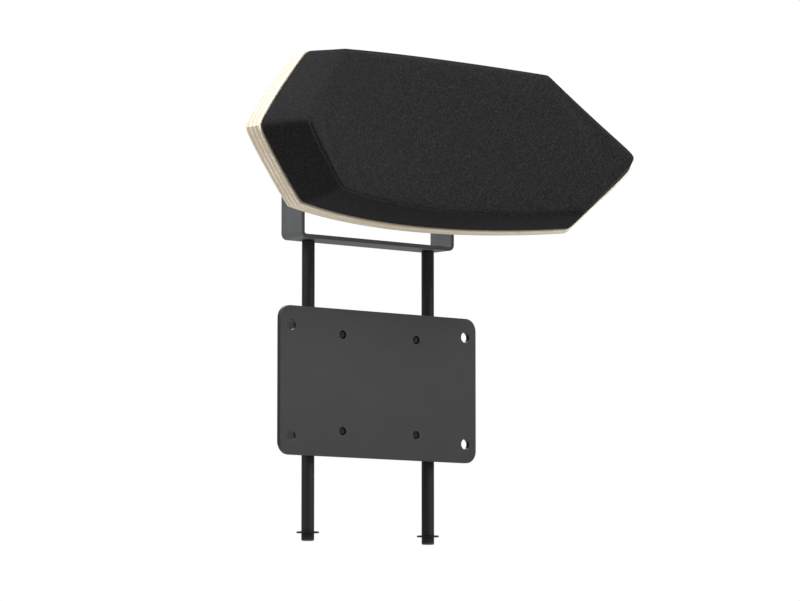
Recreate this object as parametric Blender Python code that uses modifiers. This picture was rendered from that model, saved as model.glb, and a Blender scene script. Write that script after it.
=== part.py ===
"""Headrest attachment for an office swivel chair.

Frame: +Z up, -Y towards the sitter's head, +X to the sitter's left. The origin is the centre
of the mount plate's front face, which bolts to the rear of the chair back.

Five groups move against each other:
  receiver  the plate, housing, bushes, cover and insert that stay on the chair back
  clamp     the bridge and its two shoes, which slide along Y onto the posts
  knob      the star knob, its stud and clip, which turn about Y and drive the clamp
  mast      two posts and the U-bracket, which slide along Z
  pad       the curved shell, its bracket and the cushion, which tilt about X
"""

import math

import bmesh
import bpy
from mathutils import Matrix, Vector

MM = 0.001
GAP = 0.3 * MM

# Mount plate, on the chair back
PLATE_WIDTH = 160 * MM
PLATE_HEIGHT = 92 * MM
PLATE_THICKNESS = 3 * MM
PLATE_CORNER = 8 * MM
CHAIR_BOLT_X = 71 * MM
CHAIR_BOLT_Z = 34 * MM
CHAIR_BOLT_RADIUS = 3.3 * MM

# Posts and the bushes that guide them
POST_X = 49 * MM
POST_Y = 11 * MM
POST_RADIUS = 4 * MM
POST_FOOT_Z = -98 * MM
POST_STEPS = 20
STOP_RING_Z = -92.7 * MM
STOP_RING_RADIUS = 7 * MM
STOP_RING_THICKNESS = 1 * MM
BUSH_WALL = 1.9 * MM
BUSH_RUNNING_GAP = 0.1 * MM
BUSH_LENGTH = 12 * MM
BUSH_FLANGE_RADIUS = 8 * MM
BUSH_FLANGE_THICKNESS = 1.5 * MM

# Guide housing and rear cover
HOUSING_WIDTH = 122 * MM
HOUSING_HEIGHT = 80 * MM
HOUSING_BACK_Y = 22 * MM
HOUSING_ROUND = 3 * MM
POCKET_WIDTH = 114 * MM
POCKET_HEIGHT = 28 * MM
COVER_BACK_Y = 28.5 * MM
COVER_WALL = 2.5 * MM
COVER_SCREW_X = 30 * MM
COVER_SCREW_Z = 30 * MM
COVER_BOSS_RADIUS = 5 * MM
KNOB_BOSS_RADIUS = 11 * MM
KNOB_BOSS_Y = 34 * MM
SCREW_RADIUS = 2.2 * MM
SCREW_HOLE_RADIUS = 2.6 * MM
SCREW_HEAD_RADIUS = 4.5 * MM
SCREW_HEAD_HEIGHT = 2.7 * MM

# Clamp and knob
BRIDGE_WIDTH = 108 * MM
BRIDGE_HEIGHT = 22 * MM
BRIDGE_FRONT_Y = 16.8 * MM
BRIDGE_BACK_Y = 21 * MM
SHOE_WIDTH = 10 * MM
SHOE_HEIGHT = 18 * MM
SHOE_FRONT_Y = 12.5 * MM
INSERT_FLANGE_Y = 24.3 * MM
INSERT_FLANGE_RADIUS = 8.5 * MM
INSERT_FLANGE_THICKNESS = 1.4 * MM
INSERT_RADIUS = 6 * MM
STUD_RADIUS = 4 * MM
STUD_NECK_RADIUS = 2.7 * MM
STUD_TIP_Y = 14.2 * MM
CLIP_Y = 15.5 * MM
CLIP_THICKNESS = 0.8 * MM
KNOB_FRONT_Y = 35 * MM
KNOB_BACK_Y = 52 * MM
KNOB_RADIUS = 22 * MM
KNOB_LOBES = 6
KNOB_NECK_RADIUS = 12 * MM
KNOB_CAP_RADIUS = 9 * MM

# U-bracket, bent from one flat bar
BAR_THICKNESS = 2.5 * MM
BAR_DEPTH = 20 * MM
BAR_WIDTH = 125 * MM
BAR_BEND_RADIUS = 4 * MM
WEB_Z = 90 * MM
POST_SCREW_RADIUS = 2 * MM
POST_SCREW_HEAD_RADIUS = 3.9 * MM
POST_SCREW_DEPTH = 12 * MM

# Tilt pivot at the tops of the arms
PIVOT_Z = 138.3 * MM
PIVOT_BOLT_RADIUS = 3 * MM
PIVOT_HEAD_RADIUS = 5.25 * MM
PIVOT_HEAD_HEIGHT = 3.3 * MM
PIVOT_DISC_RADIUS = 9 * MM
PIVOT_DISC_THICKNESS = 1 * MM
SPRING_WASHER_THICKNESS = 1.6 * MM
NUT_ACROSS_CORNERS = 11.5 * MM
NUT_HEIGHT = 6 * MM

# Pad: a hexagon bent to a cylinder and leaning back. Its outline is measured along the front face
PAD_RADIUS = 300 * MM
PAD_LEAN = math.radians(6.4)
PAD_CENTRE_Y = -62 * MM
PAD_CENTRE_Z = 146.5 * MM
TIP_S = 140 * MM
TIP_V = -4.2 * MM
TOP_S = 83.8 * MM
TOP_V = 49.2 * MM
TOP_BOW = 5.0 * MM
BOTTOM_S = 100 * MM
BOTTOM_V = -40.8 * MM
BOTTOM_BOW = 3.3 * MM
SIDE_DRAFT = 3.3 * MM
STRIP_WIDTH = 15 * MM
TIP_ROUND = 5 * MM
SLIVER = 0.2 * MM
FRONT_ROUND = 4.5 * MM
FABRIC_THICKNESS = 1.2 * MM
HEM_WIDTH = 14 * MM

# Depths behind the front face of the cushion
COVER_BACK_N = 30.2 * MM
FOAM_FRONT_N = FABRIC_THICKNESS + GAP
FOAM_BACK_N = 25.4 * MM
PANEL_FRONT_N = 25.7 * MM
PANEL_BACK_N = 28.7 * MM
SHELL_FRONT_N = 30.5 * MM
SHELL_BACK_N = 39.5 * MM
BASE_FRONT_N = 39.8 * MM
BASE_THICKNESS = 2.5 * MM
SHELL_MARGIN = 1 * MM

# Pad bracket and its fixings
LUG_OUTER_X = 58.4 * MM
LUG_RADIUS = 9 * MM
BASE_HEIGHT = 52 * MM
BASE_BEND_RADIUS = 3 * MM
BASE_STEPS = 5
BRACKET_SCREW_S = 34 * MM
BRACKET_SCREW_V = 17 * MM
TEE_FLANGE_RADIUS = 8.7 * MM
TEE_FLANGE_THICKNESS = 1.2 * MM
TEE_BARREL_RADIUS = 3.3 * MM
CLIP_S = 78 * MM
CLIP_V = 20 * MM
CLIP_STEM_RADIUS = 3.5 * MM
CLIP_FLANGE_RADIUS = 6 * MM

SMALL_STEPS = 14
SIDES = {"left": 1, "right": -1}


def clear_scene():
    for obj in list(bpy.data.objects):
        bpy.data.objects.remove(obj, do_unlink=True)


def collection(name):
    group = bpy.data.collections.new(name)
    bpy.context.scene.collection.children.link(group)
    return group


def material(name, colour, roughness, metallic=0.0):
    made = bpy.data.materials.new(name)
    made.use_nodes = True
    shader = made.node_tree.nodes["Principled BSDF"]
    shader.inputs["Base Color"].default_value = (*colour, 1.0)
    shader.inputs["Roughness"].default_value = roughness
    shader.inputs["Metallic"].default_value = metallic
    return made


def black_plastic(name):
    return material(name, (0.02, 0.02, 0.021), 0.55)


def zinc(name):
    return material(name, (0.55, 0.55, 0.56), 0.35, 1.0)


def black_steel(name):
    return material(name, (0.03, 0.03, 0.032), 0.4, 0.6)


def empty(name, location, rotation=(0, 0, 0)):
    holder = bpy.data.objects.new(name, None)
    holder.location = location
    holder.rotation_euler = rotation
    PARTS.objects.link(holder)
    return holder


def add_object(name, mesh, parent, made_of=None, smooth_angle=35):
    obj = bpy.data.objects.new(name, mesh)
    obj.parent = parent
    if made_of is None:
        CUTTERS.objects.link(obj)
        obj.hide_render = True
        obj.display_type = "WIRE"
    else:
        PARTS.objects.link(obj)
        mesh.materials.append(made_of)
        mesh.shade_smooth()
        mesh.set_sharp_from_angle(angle=math.radians(smooth_angle))
    return obj


def mesh_from(bm, name):
    bmesh.ops.recalc_face_normals(bm, faces=bm.faces)
    mesh = bpy.data.meshes.new(name)
    bm.to_mesh(mesh)
    bm.free()
    return mesh


def block(name, low, high, parent, made_of=None):
    """A box between two corners."""
    bm = bmesh.new()
    bmesh.ops.create_cube(bm, size=1.0)
    low, high = Vector(low), Vector(high)
    bmesh.ops.scale(bm, vec=high - low, verts=bm.verts)
    bmesh.ops.translate(bm, vec=(low + high) / 2, verts=bm.verts)
    return add_object(name, mesh_from(bm, name), parent, made_of)


def rod(name, radius, start, end, parent, made_of=None, segments=SMALL_STEPS):
    """A plain cylinder between two points."""
    start, end = Vector(start), Vector(end)
    bm = bmesh.new()
    bmesh.ops.create_cone(
        bm, cap_ends=True, segments=segments, radius1=radius, radius2=radius, depth=(end - start).length
    )
    turn = (end - start).to_track_quat("Z", "Y").to_matrix().to_4x4()
    bmesh.ops.transform(bm, matrix=Matrix.Translation((start + end) / 2) @ turn, verts=bm.verts)
    return add_object(name, mesh_from(bm, name), parent, made_of)


def prism(name, outline, depth, parent, made_of=None):
    """A flat outline of (x, y) points, extruded along +Z."""
    bm = bmesh.new()
    face = bm.faces.new([bm.verts.new((x, y, 0)) for x, y in outline])
    moved = bmesh.ops.extrude_face_region(bm, geom=[face])["geom"]
    raised = [v for v in moved if isinstance(v, bmesh.types.BMVert)]
    bmesh.ops.translate(bm, vec=(0, 0, depth), verts=raised)
    return add_object(name, mesh_from(bm, name), parent, made_of)


def turned(name, profile, parent, made_of, steps=SMALL_STEPS):
    """A profile of (radius, height) points, run down its outer side, turned about Z."""
    bm = bmesh.new()
    points = [bm.verts.new((radius, 0, height)) for radius, height in profile]
    for first, second in zip(points, points[1:]):
        bm.edges.new((first, second))
    mesh = bpy.data.meshes.new(name)
    bm.to_mesh(mesh)
    bm.free()
    obj = add_object(name, mesh, parent, made_of)
    screw = obj.modifiers.new("turn", "SCREW")
    screw.axis = "Z"
    screw.angle = math.tau
    screw.steps = screw.render_steps = steps
    screw.use_merge_vertices = True
    screw.merge_threshold = 1e-5
    screw.use_smooth_shade = True
    return obj


def ring_profile(inner, outer, low, high):
    return [(inner, low), (inner, high), (outer, high), (outer, low), (inner, low)]


def rounded(obj, width, segments=2):
    bevel = obj.modifiers.new("rounded edges", "BEVEL")
    bevel.width = width
    bevel.segments = segments
    bevel.limit_method = "ANGLE"
    bevel.angle_limit = math.radians(40)


def boolean(obj, other, operation="DIFFERENCE"):
    change = obj.modifiers.new(operation.lower(), "BOOLEAN")
    change.operation = operation
    change.solver = "EXACT"
    change.object = other


def arc(centre, radius, start, end, count):
    """Points on a circle from one angle in degrees to another."""
    angles = [math.radians(start + (end - start) * i / count) for i in range(count + 1)]
    return [(centre[0] + radius * math.cos(a), centre[1] + radius * math.sin(a)) for a in angles]


def rounded_rectangle(width, height, radius, count=4):
    x, y = width / 2 - radius, height / 2 - radius
    corners = [((x, y), 0), ((-x, y), 90), ((-x, -y), 180), ((x, -y), 270)]
    points = []
    for centre, start in corners:
        points += arc(centre, radius, start, start + 90, count)
    return points


# ---------------------------------------------------------------- receiver


def mount_plate():
    outline = rounded_rectangle(PLATE_WIDTH, PLATE_HEIGHT, PLATE_CORNER)
    plate = prism("mount_plate", outline, PLATE_THICKNESS, None, black_steel("black plate"))
    plate.rotation_euler = (math.radians(-90), 0, 0)
    for x in (-CHAIR_BOLT_X, CHAIR_BOLT_X):
        for z in (-CHAIR_BOLT_Z, CHAIR_BOLT_Z):
            drill(plate, CHAIR_BOLT_RADIUS, x, z)
    for x, z in cover_screw_places():
        drill(plate, SCREW_HOLE_RADIUS, x, z)


def drill(obj, radius, x, z):
    """Bores an object of the receiver right through along Y."""
    name = f"{obj.name}_drill_{len(obj.modifiers)}"
    start, end = (x, -5 * MM, z), (x, KNOB_BOSS_Y + 5 * MM, z)
    boolean(obj, rod(name, radius, start, end, None))


def cover_screw_places():
    return [(x, z) for x in (-COVER_SCREW_X, COVER_SCREW_X) for z in (-COVER_SCREW_Z, COVER_SCREW_Z)]


def guide_housing():
    front = PLATE_THICKNESS + GAP
    half_x, half_z = HOUSING_WIDTH / 2, HOUSING_HEIGHT / 2
    housing = block(
        "guide_housing",
        (-half_x, front, -half_z),
        (half_x, HOUSING_BACK_Y, half_z),
        None,
        black_plastic("glass-filled nylon"),
    )
    rounded(housing, HOUSING_ROUND)
    pocket = block(
        "housing_pocket",
        (-POCKET_WIDTH / 2, POST_Y, -POCKET_HEIGHT / 2),
        (POCKET_WIDTH / 2, HOUSING_BACK_Y + 5 * MM, POCKET_HEIGHT / 2),
        None,
    )
    boolean(housing, pocket)
    bush_bore = POST_RADIUS + BUSH_RUNNING_GAP + BUSH_WALL + GAP
    for side, sign in SIDES.items():
        x = sign * POST_X
        tunnel = rod(
            f"post_tunnel_{side}",
            POST_RADIUS + 2 * GAP,
            (x, POST_Y, -half_z - 5 * MM),
            (x, POST_Y, half_z + 5 * MM),
            None,
            segments=POST_STEPS,
        )
        boolean(housing, tunnel)
        for level in (-1, 1):
            seat = rod(
                f"bush_seat_{side}_{level}",
                bush_bore,
                (x, POST_Y, level * (half_z - BUSH_LENGTH)),
                (x, POST_Y, level * (half_z + 5 * MM)),
                None,
                segments=POST_STEPS,
            )
            boolean(housing, seat)
    for x, z in cover_screw_places():
        drill(housing, SCREW_HOLE_RADIUS, x, z)


def guide_bushes():
    """Four flanged bushes: a flange on the housing's end face, and a sleeve in its seat."""
    inner = POST_RADIUS + BUSH_RUNNING_GAP
    outer = inner + BUSH_WALL
    lip = HOUSING_HEIGHT / 2 + GAP
    top = lip + BUSH_FLANGE_THICKNESS
    foot = lip - BUSH_LENGTH
    profile = [
        (inner, foot),
        (inner, top),
        (BUSH_FLANGE_RADIUS, top),
        (BUSH_FLANGE_RADIUS, lip),
        (outer, lip),
        (outer, foot),
        (inner, foot),
    ]
    for side, sign in SIDES.items():
        for level, turn in (("upper", 0), ("lower", math.pi)):
            bush = turned(f"bush_{level}_{side}", profile, None, black_plastic("acetal bush"), POST_STEPS)
            bush.location = (sign * POST_X, POST_Y, 0)
            bush.rotation_euler = (turn, 0, 0)


def rear_cover():
    front = HOUSING_BACK_Y + GAP
    half_x, half_z = HOUSING_WIDTH / 2, HOUSING_HEIGHT / 2
    cover = block(
        "rear_cover",
        (-half_x, front, -half_z),
        (half_x, COVER_BACK_Y, half_z),
        None,
        black_plastic("moulded cover"),
    )
    rounded(cover, HOUSING_ROUND)
    hollow = block(
        "cover_hollow",
        (-half_x + COVER_WALL, front - 5 * MM, -half_z + COVER_WALL),
        (half_x - COVER_WALL, COVER_BACK_Y - COVER_WALL, half_z - COVER_WALL),
        None,
    )
    boolean(cover, hollow)
    for x, z in cover_screw_places():
        boss = rod(
            f"cover_boss_{x > 0}_{z > 0}",
            COVER_BOSS_RADIUS,
            (x, front, z),
            (x, COVER_BACK_Y - COVER_WALL / 2, z),
            None,
        )
        boolean(cover, boss, "UNION")
        drill(cover, SCREW_HOLE_RADIUS, x, z)
    start = (0, COVER_BACK_Y - COVER_WALL / 2, 0)
    boss = rod("knob_boss", KNOB_BOSS_RADIUS, start, (0, KNOB_BOSS_Y, 0), None, segments=24)
    boolean(cover, boss, "UNION")
    drill(cover, INSERT_RADIUS + GAP, 0, 0)


def along_y(obj, y=0.0):
    """Turns a piece made about Z so that its axis lies along +Y."""
    obj.rotation_euler = (math.radians(-90), 0, 0)
    obj.location.y = y
    return obj


def thread_insert():
    inner = STUD_RADIUS + GAP
    flange = INSERT_FLANGE_Y + INSERT_FLANGE_THICKNESS
    back = KNOB_BOSS_Y - GAP
    profile = [
        (inner, INSERT_FLANGE_Y),
        (inner, back),
        (INSERT_RADIUS, back),
        (INSERT_RADIUS, flange),
        (INSERT_FLANGE_RADIUS, flange),
        (INSERT_FLANGE_RADIUS, INSERT_FLANGE_Y),
        (inner, INSERT_FLANGE_Y),
    ]
    brass = material("brass insert", (0.6, 0.42, 0.16), 0.35, 1.0)
    along_y(turned("thread_insert", profile, None, brass))


def cover_screws():
    seat = COVER_BACK_Y + GAP
    profile = pan_screw(seat, seat - 0.5 * MM)
    for number, (x, z) in enumerate(cover_screw_places(), 1):
        screw = along_y(turned(f"cover_screw_{number}", profile, None, black_steel("black screw")))
        screw.location = (x, 0, z)


def pan_screw(seat, length):
    """A pan-head screw whose head sits on the height seat, with its shank below."""
    top = seat + SCREW_HEAD_HEIGHT
    return [
        (0, top),
        (0.6 * SCREW_HEAD_RADIUS, top),
        (SCREW_HEAD_RADIUS, seat + 0.45 * SCREW_HEAD_HEIGHT),
        (SCREW_HEAD_RADIUS, seat),
        (SCREW_RADIUS, seat),
        (SCREW_RADIUS, seat - length),
        (0, seat - length),
    ]


# ---------------------------------------------------------------- clamp and knob


def clamp(parent):
    half_x, half_z = BRIDGE_WIDTH / 2, BRIDGE_HEIGHT / 2
    bridge = block(
        "clamp_bridge",
        (-half_x, BRIDGE_FRONT_Y, -half_z),
        (half_x, BRIDGE_BACK_Y, half_z),
        parent,
        zinc("zinc-plated bridge"),
    )
    rounded(bridge, 1 * MM, 1)
    hole = rod(
        "bridge_hole",
        STUD_NECK_RADIUS + GAP,
        (0, BRIDGE_FRONT_Y - 5 * MM, 0),
        (0, BRIDGE_BACK_Y + 5 * MM, 0),
        parent,
    )
    boolean(bridge, hole)
    for side, sign in SIDES.items():
        x = sign * POST_X
        shoe = block(
            f"clamp_shoe_{side}",
            (x - SHOE_WIDTH / 2, SHOE_FRONT_Y, -SHOE_HEIGHT / 2),
            (x + SHOE_WIDTH / 2, BRIDGE_FRONT_Y - GAP, SHOE_HEIGHT / 2),
            parent,
            material(f"grip rubber {side}", (0.05, 0.05, 0.05), 0.8),
        )
        groove = rod(
            f"shoe_groove_{side}",
            POST_RADIUS + GAP,
            (x, POST_Y, -BRIDGE_HEIGHT),
            (x, POST_Y, BRIDGE_HEIGHT),
            parent,
            segments=POST_STEPS,
        )
        boolean(shoe, groove)


def knob(parent):
    """The star knob, its stud, the clip on the stud's tip and the cap. All are turned about Y."""
    across = KNOB_RADIUS
    waist = 0.74 * KNOB_RADIUS
    outline = []
    for i in range(KNOB_LOBES * 8):
        angle = math.tau * i / (KNOB_LOBES * 8)
        swing = 0.5 + 0.5 * math.cos(KNOB_LOBES * angle)
        reach = waist + (across - waist) * swing**0.6
        outline.append((reach * math.cos(angle), reach * math.sin(angle)))
    neck_back = KNOB_FRONT_Y + 4 * MM
    star = prism("star_knob", outline, KNOB_BACK_Y - neck_back, parent, black_plastic("moulded star"))
    along_y(star, neck_back)
    rounded(star, 2.5 * MM)
    neck = rod(
        "knob_neck", KNOB_NECK_RADIUS, (0, KNOB_FRONT_Y, 0), (0, neck_back + 2 * MM, 0), parent, segments=24
    )
    boolean(star, neck, "UNION")
    stud_end = KNOB_BACK_Y - 5 * MM
    start, end = (0, KNOB_FRONT_Y - 5 * MM, 0), (0, stud_end + GAP, 0)
    boolean(star, rod("stud_socket", STUD_RADIUS + GAP, start, end, parent))
    start, end = (0, KNOB_BACK_Y - 1.5 * MM, 0), (0, KNOB_BACK_Y + 5 * MM, 0)
    boolean(star, rod("cap_recess", KNOB_CAP_RADIUS + GAP, start, end, parent, segments=24))

    shoulder = BRIDGE_BACK_Y + GAP
    groove_low, groove_high = CLIP_Y - 0.2 * MM, CLIP_Y + CLIP_THICKNESS + 0.2 * MM
    groove_radius = STUD_NECK_RADIUS - 0.7 * MM
    profile = [
        (0, stud_end),
        (STUD_RADIUS, stud_end),
        (STUD_RADIUS, shoulder),
        (STUD_NECK_RADIUS, shoulder),
        (STUD_NECK_RADIUS, groove_high),
        (groove_radius, groove_high),
        (groove_radius, groove_low),
        (STUD_NECK_RADIUS, groove_low),
        (STUD_NECK_RADIUS, STUD_TIP_Y),
        (0, STUD_TIP_Y),
    ]
    along_y(turned("knob_stud", profile, parent, zinc("zinc-plated stud")))
    profile = ring_profile(groove_radius + GAP, 5 * MM, CLIP_Y, CLIP_Y + CLIP_THICKNESS)
    along_y(turned("stud_clip", profile, parent, black_steel("spring steel clip")))

    low = KNOB_BACK_Y - 1.5 * MM + GAP
    profile = [
        (0, KNOB_BACK_Y + 1.2 * MM),
        (0.6 * KNOB_CAP_RADIUS, KNOB_BACK_Y + 0.9 * MM),
        (KNOB_CAP_RADIUS, KNOB_BACK_Y),
        (KNOB_CAP_RADIUS, low),
        (0, low),
    ]
    along_y(turned("knob_cap", profile, parent, black_plastic("knob cap"), 24))


# ---------------------------------------------------------------- mast


def posts(parent):
    web_underside = WEB_Z - BAR_THICKNESS / 2
    top = web_underside - GAP
    bore = POST_SCREW_RADIUS + GAP
    bore_floor = web_underside - POST_SCREW_DEPTH - 2 * MM
    neck = POST_RADIUS - 0.6 * MM
    ring_low = STOP_RING_Z - STOP_RING_THICKNESS / 2
    ring_high = STOP_RING_Z + STOP_RING_THICKNESS / 2
    groove_low, groove_high = ring_low - 0.2 * MM, ring_high + 0.2 * MM
    profile = [
        (0, bore_floor),
        (bore, bore_floor),
        (bore, top),
        (POST_RADIUS, top),
        (POST_RADIUS, groove_high),
        (neck, groove_high),
        (neck, groove_low),
        (POST_RADIUS, groove_low),
        (POST_RADIUS, POST_FOOT_Z + 0.8 * MM),
        (POST_RADIUS - 0.8 * MM, POST_FOOT_Z),
        (0, POST_FOOT_Z),
    ]
    ring = ring_profile(neck + GAP, STOP_RING_RADIUS, ring_low, ring_high)
    for side, sign in SIDES.items():
        post = turned(f"post_{side}", profile, parent, black_steel("black steel rod"), POST_STEPS)
        post.location = (sign * POST_X, POST_Y, 0)
        stop = turned(f"stop_ring_{side}", ring, parent, black_steel("stop ring"))
        stop.location = (sign * POST_X, POST_Y, 0)


def u_bracket(parent):
    """One flat bar bent up at both ends. Its section is drawn in X and Z and extruded along Y."""
    half = BAR_WIDTH / 2
    low = WEB_Z - BAR_THICKNESS / 2
    high = PIVOT_Z + BAR_DEPTH / 2
    outer, inner = BAR_BEND_RADIUS, BAR_BEND_RADIUS - BAR_THICKNESS
    right = [(half, high)]
    right += arc((half - outer, low + outer), outer, 0, -90, 5)
    left_inside = [(-half + BAR_THICKNESS, high)]
    left_inside += arc((-half + outer, low + outer), inner, 180, 270, 5)
    outline = right + [(-x, z) for x, z in reversed(right)]
    outline += left_inside + [(-x, z) for x, z in reversed(left_inside)]
    steel = material("graphite bar", (0.12, 0.12, 0.125), 0.45, 0.5)
    bar = prism("u_bracket", outline, BAR_DEPTH, parent, steel)
    bar.rotation_euler = (math.radians(90), 0, 0)
    bar.location = (0, POST_Y + BAR_DEPTH / 2, 0)
    round_arm_tops(bar.data, high)
    for side, sign in SIDES.items():
        start, end = (sign * (half - 10 * MM), POST_Y, PIVOT_Z), (sign * (half + 10 * MM), POST_Y, PIVOT_Z)
        boolean(bar, rod(f"arm_hole_{side}", PIVOT_BOLT_RADIUS + GAP, start, end, parent))
        x = sign * POST_X
        sink = turned(f"web_sink_{side}", sink_profile(), parent, None)
        sink.location = (x, POST_Y, 0)
        boolean(bar, sink)


def round_arm_tops(mesh, high):
    """Rounds the front and rear top corner of each arm to half the bar's depth."""
    bm = bmesh.new()
    bm.from_mesh(mesh)
    corners = [
        edge
        for edge in bm.edges
        if all(abs(v.co.y - high) < 1e-6 for v in edge.verts)
        and abs(edge.verts[0].co.z - edge.verts[1].co.z) < 1e-6
    ]
    bmesh.ops.bevel(
        bm,
        geom=corners,
        offset=0.98 * BAR_DEPTH / 2,
        segments=6,
        profile=0.5,
        affect="EDGES",
        material=-1,
    )
    bm.to_mesh(mesh)
    bm.free()


def sink_profile():
    """The countersunk hole for a post screw, as a cutter."""
    top = WEB_Z + BAR_THICKNESS / 2
    cone = POST_SCREW_HEAD_RADIUS - POST_SCREW_RADIUS
    return [
        (0, top + 1 * MM),
        (POST_SCREW_HEAD_RADIUS + GAP, top + 1 * MM),
        (POST_SCREW_HEAD_RADIUS + GAP, top),
        (POST_SCREW_RADIUS + GAP, top - cone),
        (POST_SCREW_RADIUS + GAP, top - 5 * MM),
        (0, top - 5 * MM),
    ]


def post_screws(parent):
    top = WEB_Z + BAR_THICKNESS / 2
    cone = POST_SCREW_HEAD_RADIUS - POST_SCREW_RADIUS
    foot = WEB_Z - BAR_THICKNESS / 2 - POST_SCREW_DEPTH
    profile = [
        (0, top),
        (POST_SCREW_HEAD_RADIUS - 0.1 * MM, top),
        (POST_SCREW_RADIUS, top - cone),
        (POST_SCREW_RADIUS, foot),
        (0, foot),
    ]
    for side, sign in SIDES.items():
        screw = turned(f"post_screw_{side}", profile, parent, black_steel("countersunk screw"))
        screw.location = (sign * POST_X, POST_Y, 0)


def pivot_stack(parent):
    """What clamps each lug to its arm: bolt, friction disc, spring washer and lock nut.

    Heights are distances from the middle of the bracket, so each stack is made once along
    +X and turned over for the other side.
    """
    arm_outside = BAR_WIDTH / 2
    arm_inside = arm_outside - BAR_THICKNESS
    lug_inside = LUG_OUTER_X - BASE_THICKNESS
    head = arm_outside + GAP
    washer = lug_inside - GAP - SPRING_WASHER_THICKNESS
    nut = washer - GAP - NUT_HEIGHT
    bolt_profile = [
        (0, head + PIVOT_HEAD_HEIGHT),
        (0.55 * PIVOT_HEAD_RADIUS, head + PIVOT_HEAD_HEIGHT),
        (PIVOT_HEAD_RADIUS, head + 0.35 * PIVOT_HEAD_HEIGHT),
        (PIVOT_HEAD_RADIUS, head),
        (PIVOT_BOLT_RADIUS, head),
        (PIVOT_BOLT_RADIUS, nut - 1 * MM),
        (0, nut - 1 * MM),
    ]
    bore = PIVOT_BOLT_RADIUS + GAP
    disc_profile = ring_profile(
        bore, PIVOT_DISC_RADIUS, arm_inside - GAP - PIVOT_DISC_THICKNESS, arm_inside - GAP
    )
    washer_profile = [
        (bore, washer + 0.6 * SPRING_WASHER_THICKNESS),
        (bore, washer + SPRING_WASHER_THICKNESS),
        (6 * MM, washer + 0.6 * SPRING_WASHER_THICKNESS),
        (6 * MM, washer),
        (bore, washer + 0.6 * SPRING_WASHER_THICKNESS),
    ]
    for side, sign in SIDES.items():
        bolt = turned(f"pivot_bolt_{side}", bolt_profile, parent, black_steel("button-head bolt"))
        disc = turned(f"friction_disc_{side}", disc_profile, parent, black_plastic("friction disc"))
        spring = turned(f"spring_washer_{side}", washer_profile, parent, zinc("spring washer"))
        hexagon = arc((0, 0), NUT_ACROSS_CORNERS / 2, 0, 300, 5)
        lock_nut = prism(f"lock_nut_{side}", hexagon, NUT_HEIGHT, parent, zinc("lock nut"))
        hole = rod(f"nut_hole_{side}", bore, (0, 0, -5 * MM), (0, 0, NUT_HEIGHT + 5 * MM), lock_nut)
        boolean(lock_nut, hole)
        for piece in (bolt, disc, spring, lock_nut):
            piece.rotation_euler = (0, sign * math.radians(90), 0)
            piece.location = (0, POST_Y, PIVOT_Z)
        lock_nut.location.x = sign * nut


# ---------------------------------------------------------------- pad


def pivot_from_pad():
    """The pivot's place in the pad's own frame: depth behind the pad's centre, and height."""
    to_pad = Matrix.Rotation(PAD_LEAN, 4, "X")
    return to_pad @ Vector((0, POST_Y - PAD_CENTRE_Y, PIVOT_Z - PAD_CENTRE_Z))


def bent(s, n, v):
    """From a place along the front face, a depth behind it and a height, to a point from the pivot."""
    angle = s / PAD_RADIUS
    radius = PAD_RADIUS + n
    point = Vector((radius * math.sin(angle), radius * math.cos(angle) - PAD_RADIUS, v))
    return point - pivot_from_pad()


def meet(first, second):
    """The crossing of two lines, each given as normal x, normal y and distance."""
    a, b, c = first
    d, e, f = second
    det = a * e - b * d
    return Vector(((c * e - b * f) / det, (a * f - c * d) / det))


def side_line(start, end, outwards):
    """The line through two outline corners of the +X side, moved outwards."""
    along = (end - start).normalized()
    normal = Vector((along.y, -along.x)) if along.y < 0 else Vector((-along.y, along.x))
    if normal.x < 0:
        normal = -normal
    return normal.x, normal.y, normal.dot(start) + outwards


def hexagon(outwards):
    """The pad's outline before its edges are bowed, moved outwards, with a rounded tip each side."""
    top, tip, bottom = Vector((TOP_S, TOP_V)), Vector((TIP_S, TIP_V)), Vector((BOTTOM_S, BOTTOM_V))
    upper = side_line(top, tip, outwards)
    lower = side_line(tip, bottom, outwards)
    top = meet(upper, (0, 1, TOP_V + outwards))
    tip = meet(upper, lower)
    bottom = meet(lower, (0, 1, BOTTOM_V - outwards))
    to_top = (top - tip).normalized() * TIP_ROUND
    to_bottom = (bottom - tip).normalized() * TIP_ROUND
    half = [bottom, tip + to_bottom, tip + 0.27 * (to_top + to_bottom), tip + to_top, top]
    return half + [Vector((-p.x, p.y)) for p in reversed(half)]


def bowed(s, v):
    """Raises the top edge and lowers the bottom edge towards their middles."""
    if v > 0:
        return v + TOP_BOW * v / TOP_V * max(0, 1 - (s / TOP_S) ** 2)
    return v - BOTTOM_BOW * v / BOTTOM_V * max(0, 1 - (s / BOTTOM_S) ** 2)


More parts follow.
